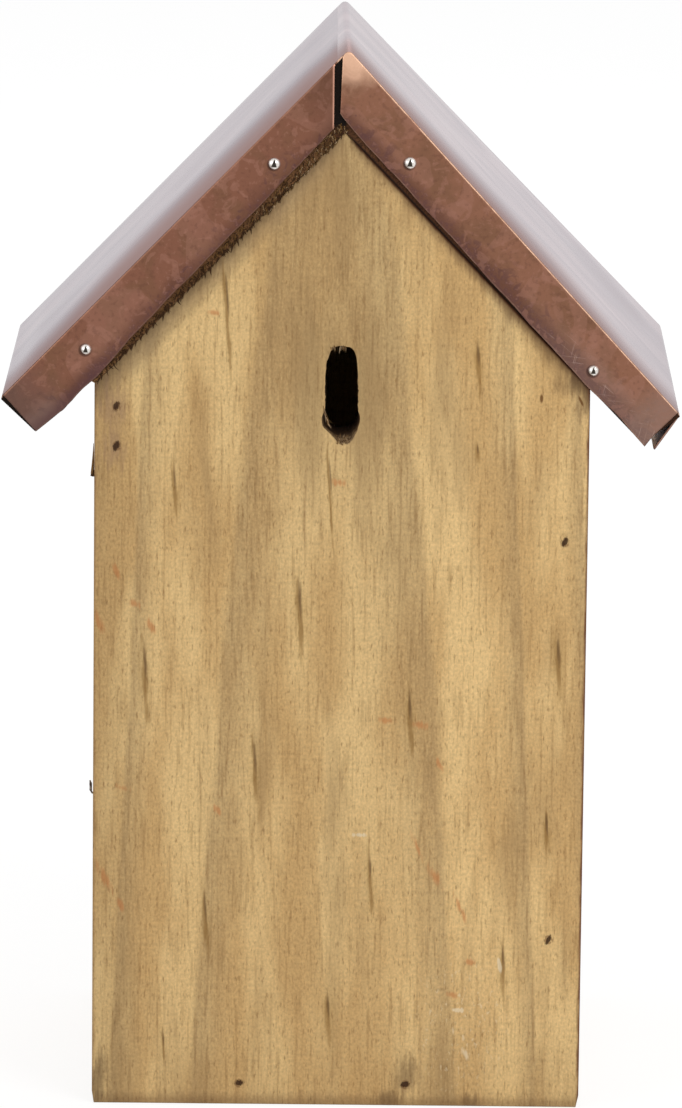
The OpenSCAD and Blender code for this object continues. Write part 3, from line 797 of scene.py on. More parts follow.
RIDGE_BEND_DEG, RIDGE_STEPS, SLOPE_STEPS = 44, 13, 110
ridge_turn = np.radians(np.linspace(90 + RIDGE_BEND_DEG, 90 - RIDGE_BEND_DEG, RIDGE_STEPS))
ridge = np.stack([RIDGE_R * np.cos(ridge_turn), RIDGE_Z + RIDGE_R * np.sin(ridge_turn)], axis=-1)
start_s = (RIDGE_R * SIN - SHEET_N * SIN) / COS
right_rows = slope_rows(1, start_s, EAVE_S - EAVE_R, SLOPE_STEPS)[1:]
left_rows = slope_rows(-1, start_s, EAVE_S - EAVE_R, SLOPE_STEPS)[1:]
bends = {side: eave_rows(side) for side in (-1, 1)}
section = np.concatenate([bends[-1][::-1], left_rows[::-1], ridge, right_rows, bends[1]])
ROWS = len(section)
first_top = len(bends[-1])
cut_left, cut_right = (int(np.abs(section[:, 0] - SLIT_TOP_X[side]).argmin()) for side in (-1, 1))
print(f"Copper sheet's cross-section: {ROWS} points, slit between rows {cut_left} and {cut_right}")

# %% [markdown]
# The margins were cut by hand, so their lower edges wander. Each edge is a short table: so far down
# the slope, so high above the board's underside. Snips leave small waves as well, which come from
# the noise. Every row then runs straight from its point on the section down to that edge.

# %% Copper sheet: margins and folds
LEFT_EDGE = ((-13, 2.9), (1.3, 2.9), (33, 2.15), (60, 2.1), (78, 1.8), (86, 1.2), (92, 1.1), (97.4, 1.5),
             (104, 1.0), (107, 1.4), (113.4, 2.1))
RIGHT_EDGE = ((-13, 2.4), (-4.4, 2.4), (4, 1.85), (18, 1.6), (30, 1.25), (42, 0.95), (54, 0.65), (70, 0.3),
              (82, 0.1), (94, 0.0), (103, 0.4), (114.5, -0.2))
MARGIN_END_S = {-1: 113.4, 1: 114.5}
MARGIN_ROWS, FOLD_ROWS, TOP_COLUMNS = 16, 5, 60
FLAP_Y, TOP_Y = 59.6, 58.6
FAR_AWAY = 50.0


def margin_foot(back):
    """Where each row's margin ends: on the lower edge, at the row's own place down the slope."""
    foot = np.zeros((ROWS, 2))
    for side, edge, rows in ((-1, LEFT_EDGE, slice(first_top, cut_left + 1)),
                             (1, RIGHT_EDGE, slice(cut_right, ROWS - len(bends[1])))):
        part = section[rows]
        share = np.abs(part[:, 0] - part[0 if side > 0 else -1, 0])
        share = share / share.max()
        slit_x, slit_z = SLIT_FOOT[side]
        slit_s = side * slit_x * COS - (slit_z - APEX_Z) * SIN
        s = slit_s + share * (MARGIN_END_S[side] - slit_s)
        n = np.interp(s, *zip(*edge)) + 0.15 * noise(21 + back, s / 7) + 0.05 * noise(23 + back, s / 1.6)
        foot[rows] = np.stack(on_slope(side, s, n), axis=-1)
    return foot


def margin(back):
    """Rows of points from the lower edge up to the fold, then round the fold to the top: the way
    down from each point of the section is divided evenly below the fold, and the fold is a
    quarter round of FOLD_R. The last result is each point's distance from the lower edge."""
    foot = margin_foot(back)
    way = foot - section
    length = np.maximum(np.linalg.norm(way, axis=1, keepdims=True), 1e-9)
    below = np.linspace(1, 0, MARGIN_ROWS)[:, None, None]
    flat = section + way / length * (FOLD_R + below * (length - FOLD_R))
    turn_by = np.linspace(0, math.pi / 2, FOLD_ROWS + 1)[1:-1, None, None]
    bend = section + way / length * FOLD_R * (1 - np.sin(turn_by))
    plane_xz = np.concatenate([flat, bend])
    out = FOLD_Y + FOLD_R * np.concatenate([np.ones(MARGIN_ROWS), np.cos(turn_by.ravel())])
    return plane_xz, out, np.linalg.norm(plane_xz - foot, axis=-1)


front_xz, front_out, front_up = margin(0)
back_xz, back_out, back_up = margin(1)
top_y = np.concatenate([[-FOLD_Y, -FLAP_Y], np.linspace(-TOP_Y, TOP_Y, TOP_COLUMNS), [FLAP_Y, FOLD_Y]])
sheet_xz = np.concatenate([front_xz, np.repeat(section[None], len(top_y), axis=0), back_xz[::-1]])
from_edge = np.concatenate([front_up, np.full((len(top_y), ROWS), FAR_AWAY), back_up[::-1]])
sheet_y = np.concatenate([-front_out, top_y, back_out[::-1]])
COLUMNS = len(sheet_y)
sheet_points = np.dstack([sheet_xz[..., 0], np.repeat(sheet_y[:, None], ROWS, axis=1), sheet_xz[..., 1]])
margin_columns = MARGIN_ROWS + FOLD_ROWS - 1
on_margin = np.ones(COLUMNS, bool)
on_margin[margin_columns:COLUMNS - margin_columns] = False
print(f"Copper sheet's grid: {COLUMNS} columns of {ROWS} points")

# %% [markdown]
# The roof was nailed on by eye, so it isn't quite square: the ridge rises a little towards the
# front, and the right eave hangs two millimetres low there. Each corner of the roof gets its own
# small shift, and the points between them get a blend of the corners' shifts.

# %% A roof that isn't quite square
EAVE_X, ROOF_DEPTH = 89, 120
SHIFT_FRONT = {"ridge": (0.8, 1.5), -1: (-0.9, 0.7), 1: (0.0, -2.2)}
SHIFT_BACK = {"ridge": (-0.2, -0.4), -1: (-1.2, -0.9), 1: (0.0, 0.8)}


def lean(x, y, z, share):
    """Moves roof points by share * ((1 - u) ridge + u eave), where u runs from the ridge to the eave
    and the ridge's and eave's shifts are blends of their front and back ones."""
    u = np.clip(np.abs(x) / EAVE_X, 0, 1)
    front = 0.5 - y / ROOF_DEPTH
    moved = []
    for k, value in enumerate((x, z)):
        at = {key: SHIFT_BACK[key][k] + front * (SHIFT_FRONT[key][k] - SHIFT_BACK[key][k])
              for key in SHIFT_BACK}
        moved.append(value + share * ((1 - u) * at["ridge"] + u * np.where(x < 0, at[-1], at[1])))
    return moved


print(f"Right eave moved by {SHIFT_FRONT[1][1]} mm at the front and {SHIFT_BACK[1][1]} mm at the back")

# %% [markdown]
# No sheet on an old box is flat. Its margins bulge a little between the pins, its top is slightly
# hammered, and on the left it comes down to the folds in a soft round. The dents are noise whose
# size fades to nothing where a pin holds the sheet. The pins' places are read from the solid, and
# each gets the small error with which it was set.

# %% Copper sheet: dents
PINS_HALFWAY_Z = 230
PIN_OFF = {(-1, "low"): (-0.6, 0.9), (1, "low"): (-0.75, 0.4),
           (-1, "high"): (-0.55, -0.2), (1, "high"): (-0.75, 0.35)}
ROLLED, ROLL_HEIGHT = 20, 0.45
pin_points = np.array([corner.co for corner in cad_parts["front_cover_pins"].data.vertices]) / MM
pin_places = []
for (side, end), off in PIN_OFF.items():
    at_end = (pin_points[:, 2] < PINS_HALFWAY_Z) == (end == "low")
    pin_box = pin_points[at_end & (np.sign(pin_points[:, 0]) == side)][:, [0, 2]]
    pin_places.append((pin_box.min(axis=0) + pin_box.max(axis=0)) / 2 + off)
    print(f"Pin {side:+d} {end} at", np.round(pin_places[-1], 1))
x, y, z = (sheet_points[..., k] for k in range(3))
s_at, n_at = down_slope(x, z), -below_slope(x, z)
lean_share = np.where(on_margin[:, None], np.clip((n_at - 3) / (SHEET_N - 3), 0, 1), 1)
x, z = lean(x, y, z, lean_share)
from_pin = np.min([np.hypot(x - pin_x, z - pin_z) for pin_x, pin_z in pin_places], axis=0)
bulge = 0.22 * smooth(1.5, 9, from_pin) * (0.5 + 0.5 * noise(31, x * 0.09, z * 0.09))
bulge = bulge * smooth(SHEET_N, SHEET_N - 4, n_at)
y = y + np.where(on_margin[:, None], np.sign(y) * bulge, 0)
lift = 0.10 * (1 + noise(33, x * 0.05, y * 0.05)) * (~on_margin[:, None]) * smooth(59, 50, np.abs(y))
to_fold = np.clip((FOLD_Y - np.abs(y)) / ROLLED, 0, 1)
lift = lift + np.where(x < 0, ROLL_HEIGHT * (1 - (1 - to_fold) ** 2), 0)
lift = lift * smooth(-8, 2, s_at) * smooth(110, 100, s_at)
x, z = x + lift * SIN * np.sign(x), z + lift * COS
sheet_points = np.stack([x, y, z], axis=-1)

# %% [markdown]
# Now the snips: the grid's faces are left out where the slit parts the two front margins, and at
# the corners, where the flaps end a little before the margins. Points that no face uses go too. The
# distance from the slit is kept with each point, so that the cut can be painted bright.

# %% Copper sheet: slits and open corners
row = np.arange(ROWS)[None, :-1]
margin_face = on_margin[:-1, None] | on_margin[1:, None]
slit_face = (row >= cut_left) & (row < cut_right)
flap_face = (row < first_top) | (row >= ROWS - len(bends[1]) - 1)
flap_end = (np.abs(sheet_y[:-1]) > FLAP_Y) | (np.abs(sheet_y[1:]) > FLAP_Y)
missing = (margin_face & (slit_face | flap_face)) | (flap_end[:, None] & flap_face)
kept_faces = grid_faces(COLUMNS, ROWS)[~missing.ravel()]
used = np.unique(kept_faces)
renumber = np.zeros(COLUMNS * ROWS, int)
renumber[used] = np.arange(len(used))
kept_points = sheet_points.reshape(-1, 3)[used]
kept_faces = renumber[kept_faces]
from_slit = np.full((COLUMNS, ROWS), FAR_AWAY)
from_slit[:margin_columns, :cut_left + 1] = cut_left - np.arange(cut_left + 1)
face_normal = np.cross(kept_points[kept_faces[:, 1]] - kept_points[kept_faces[:, 0]],
                       kept_points[kept_faces[:, 2]] - kept_points[kept_faces[:, 0]])
if face_normal[:, 2].sum() < 0:
    kept_faces = kept_faces[:, ::-1]
print(f"Copper sheet: {len(kept_points)} points and {len(kept_faces)} faces")

# %% [markdown]
# Copper that has hung outdoors for some time is brown, not orange. It is still metal, so its colour lies in
# its reflections: seen head on it is brown, and along the slope it mirrors the white sky. Handling wears the
# folds back to bright pink copper, and rain leaves purple patches near the edges. Some light and shade is
# painted into the margins as well: a highlight at the top of the right margin and along the cut lower edges,
# shade near the ridge on the left, and a contact shadow round each pin.

# %% Copper: the front margins
LEFT_BROWN, RIGHT_BROWN, OLIVE = (0.232, 0.101, 0.064), (0.272, 0.125, 0.077), (0.185, 0.092, 0.052)
ROSE, DEEP, PURPLE = (0.36, 0.175, 0.125), (0.125, 0.055, 0.038), (0.105, 0.050, 0.050)
PEAK_HIGHLIGHT, SCRATCH, BRUSHED = (0.90, 0.56, 0.38), (0.50, 0.34, 0.28), (0.30, 0.19, 0.155)
LEFT_END, BRIGHT_EDGE, PIN_SHADE = (0.12, 0.075, 0.068), (0.50, 0.29, 0.20), (0.030, 0.014, 0.012)
SCRATCH_WAYS = (((0.05, -0.08), (2.0, 1.3)), ((0.09, 0.02), (-0.3, 2.3)), ((0.06, 0.05), (1.6, -1.9)))
SHEET_PEAK = (2.5, -60.0, 283.0)

material, place, normal = begin("weathered_copper")
s_wire, n_wire = value_of(place, "down_slope"), value_of(place, "above_board")
slit_wire = value_of(place, "from_slit")
across, through, along = place.axes()
facing = abs(normal.axes()[1])
on_right = across.step(-2.4, -2.0)
clouds = place.noise(0.10, 0.10, 0.10, detail=3, twist=0.6)
patches = place.noise(0.050, 0.02, 0.050, detail=1, twist=1.5)
flecks = place.noise(0.9, 0.9, 0.9, detail=5)
mottle = place.noise(0.22, 0.22, 0.22, detail=4, twist=0.8)
apron = on_right.blend(LEFT_BROWN, RIGHT_BROWN)
apron = (clouds.step(0.42, 0.64) * 0.6).blend(apron, OLIVE)
apron = (patches.step(0.50, 0.525) * 0.30).blend(apron, ROSE)
apron = ((n_wire + 6 * (clouds - 0.5)).step(6.5, 2.2) * 0.75).blend(apron, DEEP)
apron = ((n_wire + 14 * (flecks - 0.5)).step(4.0, 1.0) * 0.55).blend(apron, PURPLE)
apron = (mottle.step(0.60, 0.66) * n_wire.step(8.5, 4.5) * 0.5).blend(apron, PURPLE)
apron = (mottle.step(0.44, 0.38) * 0.35).blend(apron, ROSE)
apron = (flecks.step(0.54, 0.68) * 0.30).blend(apron, DEEP)
apron = (flecks.step(0.42, 0.30) * 0.35).blend(apron, ROSE)
handled = on_right * s_wire.step(60, 90) * (n_wire + 4 * (mottle - 0.5)).step(9, 5)
ends = s_wire.step(100, 109) * (n_wire - 10 * on_right + 8 * (mottle - 0.5)).step(9, 3)
brushed = (0.34 * handled).larger(0.7 * ends)
apron = (brushed * (0.5 + 0.9 * (flecks - 0.2))).blend(apron, BRUSHED)
for (along_s, along_n), (across_s, across_n) in SCRATCH_WAYS:
    skew = s_wire.node("CombineXYZ", {}, {0: s_wire * along_s + n_wire * along_n,
                                          1: s_wire * across_s + n_wire * across_n, 2: 0.0})
    scratches = skew.node("TexNoise", {}, {"Vector": skew, "Scale": 1.0, "Detail": 2.0, "Distortion": 0.9})
    apron = (scratches.step(0.61, 0.72) * handled * mottle.step(0.44, 0.58) * 0.45).blend(apron, SCRATCH)
left_end = (s_wire + 10 * (mottle - 0.5)).step(97, 112) * (1 - on_right)
apron = (left_end * 0.55).blend(apron, LEFT_END)
by_wall = s_wire.step(82, 91) * (n_wire + 3 * (mottle - 0.5)).step(5.0, 2.0) * (1 - on_right)
apron = (by_wall * 0.6).blend(apron, PURPLE)
# Bare copper along the margins' lower cut edges, with a painted highlight, stronger on the right.
cut_edge_and_highlight = value_of(place, "from_edge").step(0.55, 0.1) * mottle.step(0.36, 0.50)
apron = (cut_edge_and_highlight * (0.22 + 0.2 * on_right)).blend(apron, BRIGHT_EDGE)
# Painted contact shadow: a dark ring round each front pin.
pin_shadow_rings = [(x_mid - 0.2, z_mid - 0.15, 1.7, 1.7) for x_mid, z_mid in pin_places]
apron = (nearest_mark(place, pin_shadow_rings).step(1.15, 0.9) * 0.6).blend(apron, PIN_SHADE)
# Painted highlight: a pale peach glow at the top corner of the right margin.
from_peak = place.node("VectorMath", {"operation": "DISTANCE"}, {0: place, 1: SHEET_PEAK}, out=1)
apron = ((from_peak + 9 * (mottle - 0.5)).step(12, 1.5) * on_right * 0.8).blend(apron, PEAK_HIGHLIGHT)
# Painted shade: the left margin darker near the ridge.
apron = (s_wire.step(10, -6) * (1 - on_right) * 0.5).blend(apron, DEEP)
print(f"Bright rims round {len(pin_shadow_rings)} pins, scratches {len(SCRATCH_WAYS)} ways")

# %% [markdown]
# The slopes show long faint streaks, which the rolling mill drew into the metal. The last colours lie on the
# folds: both are rubbed bright and carry a painted highlight as well, the right one most, as it faces the
# light, and a painted shade line runs along the left one. Roughness follows the same patterns, so a brown
# place is also a dull one.

# %% Copper: the slopes and the folds
TOP_LEFT, TOP_RIGHT, TOP_FRONT = (0.20, 0.08, 0.06), (0.38, 0.23, 0.19), (0.26, 0.11, 0.07)
TOP_STREAK, LEFT_FOLD_SHADE, FRESH = (0.12, 0.06, 0.06), (0.06, 0.032, 0.034), (0.80, 0.42, 0.30)
LEFT_WORN_AND_LIT, RIGHT_WORN_AND_LIT = (0.36, 0.185, 0.12), (0.66, 0.42, 0.29)
WORN_AND_LIT_FROM, SEAM_FROM = (13.45, 13.75), (13.6, 13.9)
SKY_TINT = (0.92, 0.93, 1.0, 1)
SHEET_WALL = 0.45

rolled = s_wire.node("CombineXYZ", {}, {0: s_wire * 0.016, 1: through * 0.045, 2: on_right * 7.0})
streaks = rolled.node("TexNoise", {}, {"Vector": rolled, "Scale": 1.0, "Detail": 4.0, "Distortion": 0.8})
near_fold = (through + 12 * on_right + 14 * (streaks - 0.5) + 12 * s_wire.step(60, 105)).step(-2, -52)
top = on_right.blend(TOP_LEFT, TOP_RIGHT)
top = (streaks.step(0.36, 0.62) * 0.5).blend(top, TOP_STREAK)
top = (near_fold ** (2.6 - 1.6 * on_right)).blend(top, TOP_FRONT)
colour = facing.step(0.6, 0.2).blend(apron, top)
# The folds are rubbed bright and get a painted highlight too, brighter on the right, which faces the light.
worn_and_lit = n_wire.step(*WORN_AND_LIT_FROM) * facing.step(0.25, 0.7) * (0.35 + 0.65 * mottle.step(0.35, 0.6))
colour = (worn_and_lit * (0.5 + 0.4 * on_right)).blend(colour, on_right.blend(LEFT_WORN_AND_LIT, RIGHT_WORN_AND_LIT))
# Painted shade: a dark line along the left fold.
seam = n_wire.step(*SEAM_FROM) * facing.step(0.03, 0.2) * facing.step(0.75, 0.4) * (1 - on_right)
colour = (seam * s_wire.step(20, 50) * 0.75).blend(colour, LEFT_FOLD_SHADE)
cut = slit_wire.step(1.1, 0.1) * facing.step(0.1, 0.4)
colour = (cut * 0.85).blend(colour, FRESH)
top_rough = 0.14 + 0.08 * streaks + 0.24 * near_fold
rough = top_rough + facing.step(0.2, 0.6) * (0.32 + 0.2 * flecks - top_rough)
height = 0.05 * clouds + 0.010 * flecks + 0.02 * streaks
copper = finish(material, colour, rough, height, metallic=1.0, constants={"Specular Tint": SKY_TINT})
sheet = make_piece("copper_sheet", kept_points, kept_faces, copper, "box", "copper", crease=35, closed=False,
                   down_slope=s_at.ravel()[used], above_board=n_at.ravel()[used],
                   from_slit=from_slit.ravel()[used], from_edge=from_edge.ravel()[used])
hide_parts("copper_cover")
wall = sheet.modifiers.new("wall", "SOLIDIFY")
wall.thickness, wall.offset, wall.use_even_offset = SHEET_WALL * MM, -1.0, True

# %% [markdown]
# The other boards start from their solids, but a saw leaves no edge perfectly sharp. A copy of each
# solid is merged, its long straight edges are marked, and a Bevel modifier rounds only those. The
# short edges round the drilled holes stay as they are. The roof boards lean with the sheet, and the
# left one is planed thinner where it sticks out past the wall.

# %% Boards with eased edges
LONG_EDGE, SHARP_DEG, EASED = 8.0, 30, 0.35
WALL_S, WALL_STEP = 93.3, 0.5
OVERHANG_RISE, EAVE_RISE = 1.5, 0.9


def copy_of(node, name, move=None):
    """A copy of a solid's mesh; move takes the arrays of x, y and z and gives the new x and z."""
    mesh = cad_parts[node].data.copy()
    mesh.name = name
    if move:
        flat = np.empty(3 * len(mesh.vertices))
        mesh.vertices.foreach_get("co", flat)
        points = flat.reshape(-1, 3) / MM
        points[:, 0], points[:, 2] = move(*points.T)
        mesh.vertices.foreach_set("co", (points * MM).ravel())
    return mesh


def stand_in(name, node, mesh, material, body):
    """A piece with this mesh and this finish, in the place of a solid."""
    mesh.materials.clear()
    mesh.materials.append(material)
    piece = bpy.data.objects.new(name, mesh)
    bpy.context.scene.collection.objects.link(piece)
    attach(piece, body)
    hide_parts(node)
    return piece


def lean_solid(x, y, z):
    """Moves a roof solid as the sheet moves, the more the nearer a point is to the sheet."""
    return lean(x, y, z, np.clip(-below_slope(x, z) / BOARD_T, 0, 1))


def planed_overhang(shape):
    """Cuts the left roof board just past the wall, and planes its underside from there to the eave."""
    for s in (WALL_S, WALL_S + WALL_STEP):
        cut_at = Vector((-s * COS, 0, APEX_Z - s * SIN)) * MM
        bmesh.ops.bisect_plane(shape, geom=shape.verts[:] + shape.edges[:] + shape.faces[:],
                               plane_co=cut_at, plane_no=Vector((-COS, 0, -SIN)))
    for corner in shape.verts:
        s, n = (float(way(corner.co.x / MM, corner.co.z / MM)) for way in (down_slope, below_slope))
        if s > WALL_S + WALL_STEP / 2 and n > -1:
            rise = OVERHANG_RISE + EAVE_RISE * (s - WALL_S) / (EAVE_S - WALL_S)
            corner.co += Vector((-SIN, 0, COS)) * rise * MM


def eased_board(name, node, material, body, move=None):
    """A copy of a board's solid with its long edges marked for a small bevel."""
    mesh = copy_of(node, name, move)
    shape = bmesh.new()
    shape.from_mesh(mesh)
    bmesh.ops.remove_doubles(shape, verts=shape.verts, dist=0.001 * MM)
    bmesh.ops.dissolve_limit(shape, angle_limit=math.radians(1), verts=shape.verts, edges=shape.edges)
    if node == "roof_board_left":
        planed_overhang(shape)
    marks = shape.edges.layers.float.new("bevel_weight_edge")
    for edge in shape.edges:
        long_and_sharp = edge.calc_length() > LONG_EDGE * MM and edge.is_manifold
        if long_and_sharp and edge.calc_face_angle() > math.radians(SHARP_DEG):
            edge[marks] = 1.0
    shape.to_mesh(mesh)
    shape.free()
    piece = stand_in(name, node, mesh, material, body)
    soft = piece.modifiers.new("eased_edges", "BEVEL")
    soft.limit_method, soft.width, soft.segments = "WEIGHT", EASED * MM, 2
    print(f"{name}: {len(mesh.polygons)} faces before its bevel")


print(f"Edges longer than {LONG_EDGE:.0f} mm are eased by {EASED} mm")

# %% [markdown]
# Each board was sawn from a different part of the tree, so each gets its own place among the growth rings,
# and its grain runs along its length. The roof boards are darker and rougher, with painted shade, nearly
# black, in the slit and at the eaves, and a painted shadow line under the right margin.

# %% Side, back, floor and roof boards
ROOF_PALE, ROOF_STRAW, ROOF_LATE = srgb(126, 84, 52), srgb(98, 62, 36), srgb(46, 28, 17)
ROOF_LOOK = {"pale": ROOF_PALE, "straw": ROOF_STRAW, "late": ROOF_LATE, "ashen": ROOF_STRAW}


def roof_board_material(name, middle, start):
    """Dark rough end grain, with painted shade where it shows in the slit, at the eaves and under the right
    margin.
    """
    material, place, normal = begin(name)
    grain, facing = turned(place, 0, 2, 1), turned(normal, 0, 2, 1)
    colour, height = wood(grain, facing, middle, start, **ROOF_LOOK)
    across, through, along = place.axes()
    specks = place.noise(2.0, 2.0, 2.0, detail=4)
    down_way = abs(across) * COS + (APEX_Z - along) * SIN
    above = abs(across) * SIN - (APEX_Z - along) * COS
    pale_strip = across.step(-1, -6) * (0.34 + 0.35 * down_way.step(78, 88))
    colour = pale_strip.blend(colour, srgb(140, 102, 64))
    colour = (across.step(2, 12) * 0.8).blend(colour, srgb(74, 44, 24))
    colour = (specks.step(0.48, 0.62) * 0.7).blend(colour, ROOF_LATE)
    # Painted shadow: a black line in the gap along the right board's underside, at its front.
    colour = (above.step(0.7, 0.1) * across.step(0.5, 3) * 0.9).blend(colour, srgb(20, 9, 4))
    # Painted shade, nearly black, in the slit between the margins and in the open corners at the eaves.
    slit_shade = abs(across + 1.7).step(2.6, 1.6) * along.step(262.0, 264.5)
    eave_pocket_shade = down_way.step(111.0, 112.6) * (1 - 0.6 * across.step(60, 80))
    colour = (slit_shade.larger(eave_pocket_shade) * 0.97).blend(colour, srgb(14, 8, 5))
    return finish(material, colour, 0.75 + 0.1 * specks, height + 0.25 * specks, constants=WOOD_GLOSS)


upright_grain, cross_grain = (0, 1, 2), (1, 2, 0)
side_grain, rail_grain = (1, 0, 2), (2, 0, 1)
boards = (
    ("back_board", "back_panel", upright_grain, 14, 20, "box"),
    ("right_wall", "right_side", side_grain, -20, 9, "box"),
    ("left_rail", "left_top_rail", rail_grain, 190, 4, "box"),
    ("door_board", "side_door", side_grain, 12, 2, "door"),
    ("bottom_board", "floor_board", cross_grain, 30, 6, "box"),
)
for name, node, order, middle, start, body in boards:
    eased_board(name, node, board_material(name + "_wood", order, middle, start), body)
for name, node, middle, start in (("left_roof_board", "roof_board_left", -40, 3),
                                  ("right_roof_board", "roof_board_right", 45, 8)):
    material = roof_board_material(name + "_wood", middle, start)
    eased_board(name, node, material, "box", move=lean_solid)

# %% [markdown]
# Where the saw tore the wood, it left a fringe of broken fibres along the left slope and a few at
# the slot. Each fibre is a thin four-sided strand that narrows to its tip. One formula places all of
# them at once: the middle line starts at the root, runs straight and bends a little, and the four
# corners stand round it. A value stored with each strand makes some dark and some pale.

# %% One formula for every fibre
def strands(x, z, y, length, heading, bend, width, shade):
    """Strands in a plane of y: point(t) = root + length * (t * way + bend * t^2 * side), with a
    width that falls as 1 - 0.85 t. Headings are degrees from straight down."""
    t = np.array([0, 0.35, 0.7, 1.0])[None, :, None]
    turn_by = np.radians(heading)
    way = np.stack([np.sin(turn_by), 0 * turn_by, -np.cos(turn_by)], axis=-1)[:, None, :]
    side = np.stack([np.cos(turn_by), 0 * turn_by, np.sin(turn_by)], axis=-1)[:, None, :]
    root = np.stack([x, y + 0 * x, z], axis=-1)[:, None, :]
    line = root + length[:, None, None] * (t * way + bend[:, None, None] * t ** 2 * side)
    half = (width[:, None, None] / 2) * (1 - 0.85 * t)
    out = np.array([0, -1.0, 0])
    corners = [line + half * (a * side + b * out) for a, b in ((1, 0), (0, 1), (-1, 0), (0, -1))]
    points = np.stack(corners, axis=2).reshape(-1, 3)
    one = np.concatenate([grid_faces(4, 4, close_columns=True), [[3, 2, 1, 0], [12, 13, 14, 15]]])
    faces = (16 * np.arange(len(x))[:, None, None] + one).reshape(-1, 4)
    return points, faces, np.repeat(shade, 16)


one_points, one_faces, _ = strands(*np.ones((8, 1)))
print(f"One fibre has {len(one_points)} points and {len(one_faces)} faces")

# %% [markdown]
# There are six groups: the fringe along the slope, hairs at the slot's top and foot, a bundle at its
# left rim, a splinter at the board's left edge, and short dark teeth that hang below the fringe.
# Each group gives its places, lengths, headings, bends, widths and shades, nearly all by dice.

# %% Torn fibres
FRINGE, SLOT_HAIRS, FOOT_HAIRS, BUNDLE, TEETH = 720, 22, 30, 18, 64
dice = np.random.default_rng(7)

s_root = 93.5 * dice.random(FRINGE) ** 1.5 - 1
band_at = np.interp(s_root, *zip(*TORN_BAND))
n_root = dice.uniform(-1.5 * band_at, np.interp(s_root, *zip(*LEFT_EDGE)) - 0.3)
n_root = np.where((s_root > 45) & (noise(41, s_root * 0.5) < 0.1), 0.5 * n_root + 0.6, n_root)
x_root, z_root = on_slope(-1, s_root, n_root)
tooth = 0.8 + 1.5 * smooth(0.25, 0.6, noise(42, s_root * 0.7)) * smooth(20, 40, s_root)
fringe = (x_root, z_root, FRONT_Y - dice.uniform(0.02, 0.20, FRINGE),
          (0.55 + 0.6 * band_at + 0.35 * np.maximum(n_root, 0)) * tooth * dice.uniform(0.6, 1.3, FRINGE),
          dice.normal(-10, 26, FRINGE), dice.normal(0, 0.25, FRINGE), dice.uniform(0.16, 0.40, FRINGE),
          dice.random(FRINGE) ** 1.2 * np.interp(s_root, [0, 36, 50], [0.85, 0.8, 0.45])
          + 0.3 * (n_root < -0.2))
slot_hairs = (dice.uniform(-3.2, 1.6, SLOT_HAIRS), dice.uniform(205.3, 205.9, SLOT_HAIRS),
              FRONT_Y - dice.uniform(0.0, 0.1, SLOT_HAIRS), dice.uniform(0.8, 1.8, SLOT_HAIRS),
              dice.normal(4, 14, SLOT_HAIRS), dice.normal(0, 0.2, SLOT_HAIRS),
              dice.uniform(0.12, 0.26, SLOT_HAIRS), dice.uniform(0.2, 1.0, SLOT_HAIRS))
foot_hairs = (dice.uniform(-1.9, 2.0, FOOT_HAIRS), dice.uniform(179.0, 181.8, FOOT_HAIRS),
              FRONT_Y - dice.uniform(0.0, 0.12, FOOT_HAIRS), dice.uniform(0.4, 1.2, FOOT_HAIRS),
              dice.uniform(120, 240, FOOT_HAIRS), dice.normal(0, 0.3, FOOT_HAIRS),
              dice.uniform(0.12, 0.26, FOOT_HAIRS), dice.uniform(0.1, 0.8, FOOT_HAIRS))
along_bundle = dice.random(BUNDLE)
bundle = (-5.0 + 1.4 * along_bundle, 189.8 - 5.0 * along_bundle,
          FRONT_Y - dice.uniform(0.0, 0.15, BUNDLE), dice.uniform(1.0, 2.4, BUNDLE),
          dice.normal(18, 10, BUNDLE), dice.normal(0, 0.2, BUNDLE),
          dice.uniform(0.16, 0.30, BUNDLE), dice.uniform(0.4, 0.95, BUNDLE))
splinter = np.array([(-65.5, -65.4), (170.9, 170.3), (-59.4, -59.5), (8.2, 2.2),
                     (176.0, 172.0), (0.03, 0.05), (0.9, 1.3), (0.45, 0.0)])
s_tooth = np.interp((np.arange(TEETH) + dice.random(TEETH)) / TEETH, [0, 0.4, 0.9, 1], [16, 50, 84, 92])
x_tooth, z_tooth = on_slope(-1, s_tooth, dice.uniform(0.1, 0.8, TEETH))
teeth = (x_tooth, z_tooth, FRONT_Y - dice.uniform(0.05, 0.15, TEETH),
         0.9 + 1.5 * dice.random(TEETH) ** 1.5, dice.normal(2, 16, TEETH),
         dice.normal(0, 0.3, TEETH), dice.uniform(0.35, 0.85, TEETH), 0 * s_tooth)
tufts = [strands(*group) for group in (fringe, slot_hairs, foot_hairs, bundle, splinter, teeth)]
counts = np.cumsum([0] + [len(tuft[0]) for tuft in tufts])
fibre_points = np.concatenate([tuft[0] for tuft in tufts])
fibre_faces = np.concatenate([tuft[1] + start for tuft, start in zip(tufts, counts)])
print(f"Fibres: {len(fibre_faces)} faces in {len(tufts)} groups")

material, place, normal = begin("torn_fibre_wood")
shade = value_of(place, "shade")
grain = place.noise(3.0, 3.0, 0.8, detail=3)
colour = shade.step(0.1, 0.55).blend(srgb(60, 38, 18), srgb(122, 88, 46))
colour = shade.step(0.5, 0.95).blend(colour, srgb(176, 150, 118))
colour = (grain.step(0.45, 0.65) * 0.4).blend(colour, srgb(50, 32, 18))
fibre_wood = finish(material, colour, 0.7 + 0.15 * grain, 0.1 * grain, constants=WOOD_GLOSS)
make_piece("torn_fibres", fibre_points, fibre_faces, fibre_wood, "box", "box_wood",
           shade=np.concatenate([tuft[2] for tuft in tufts]))

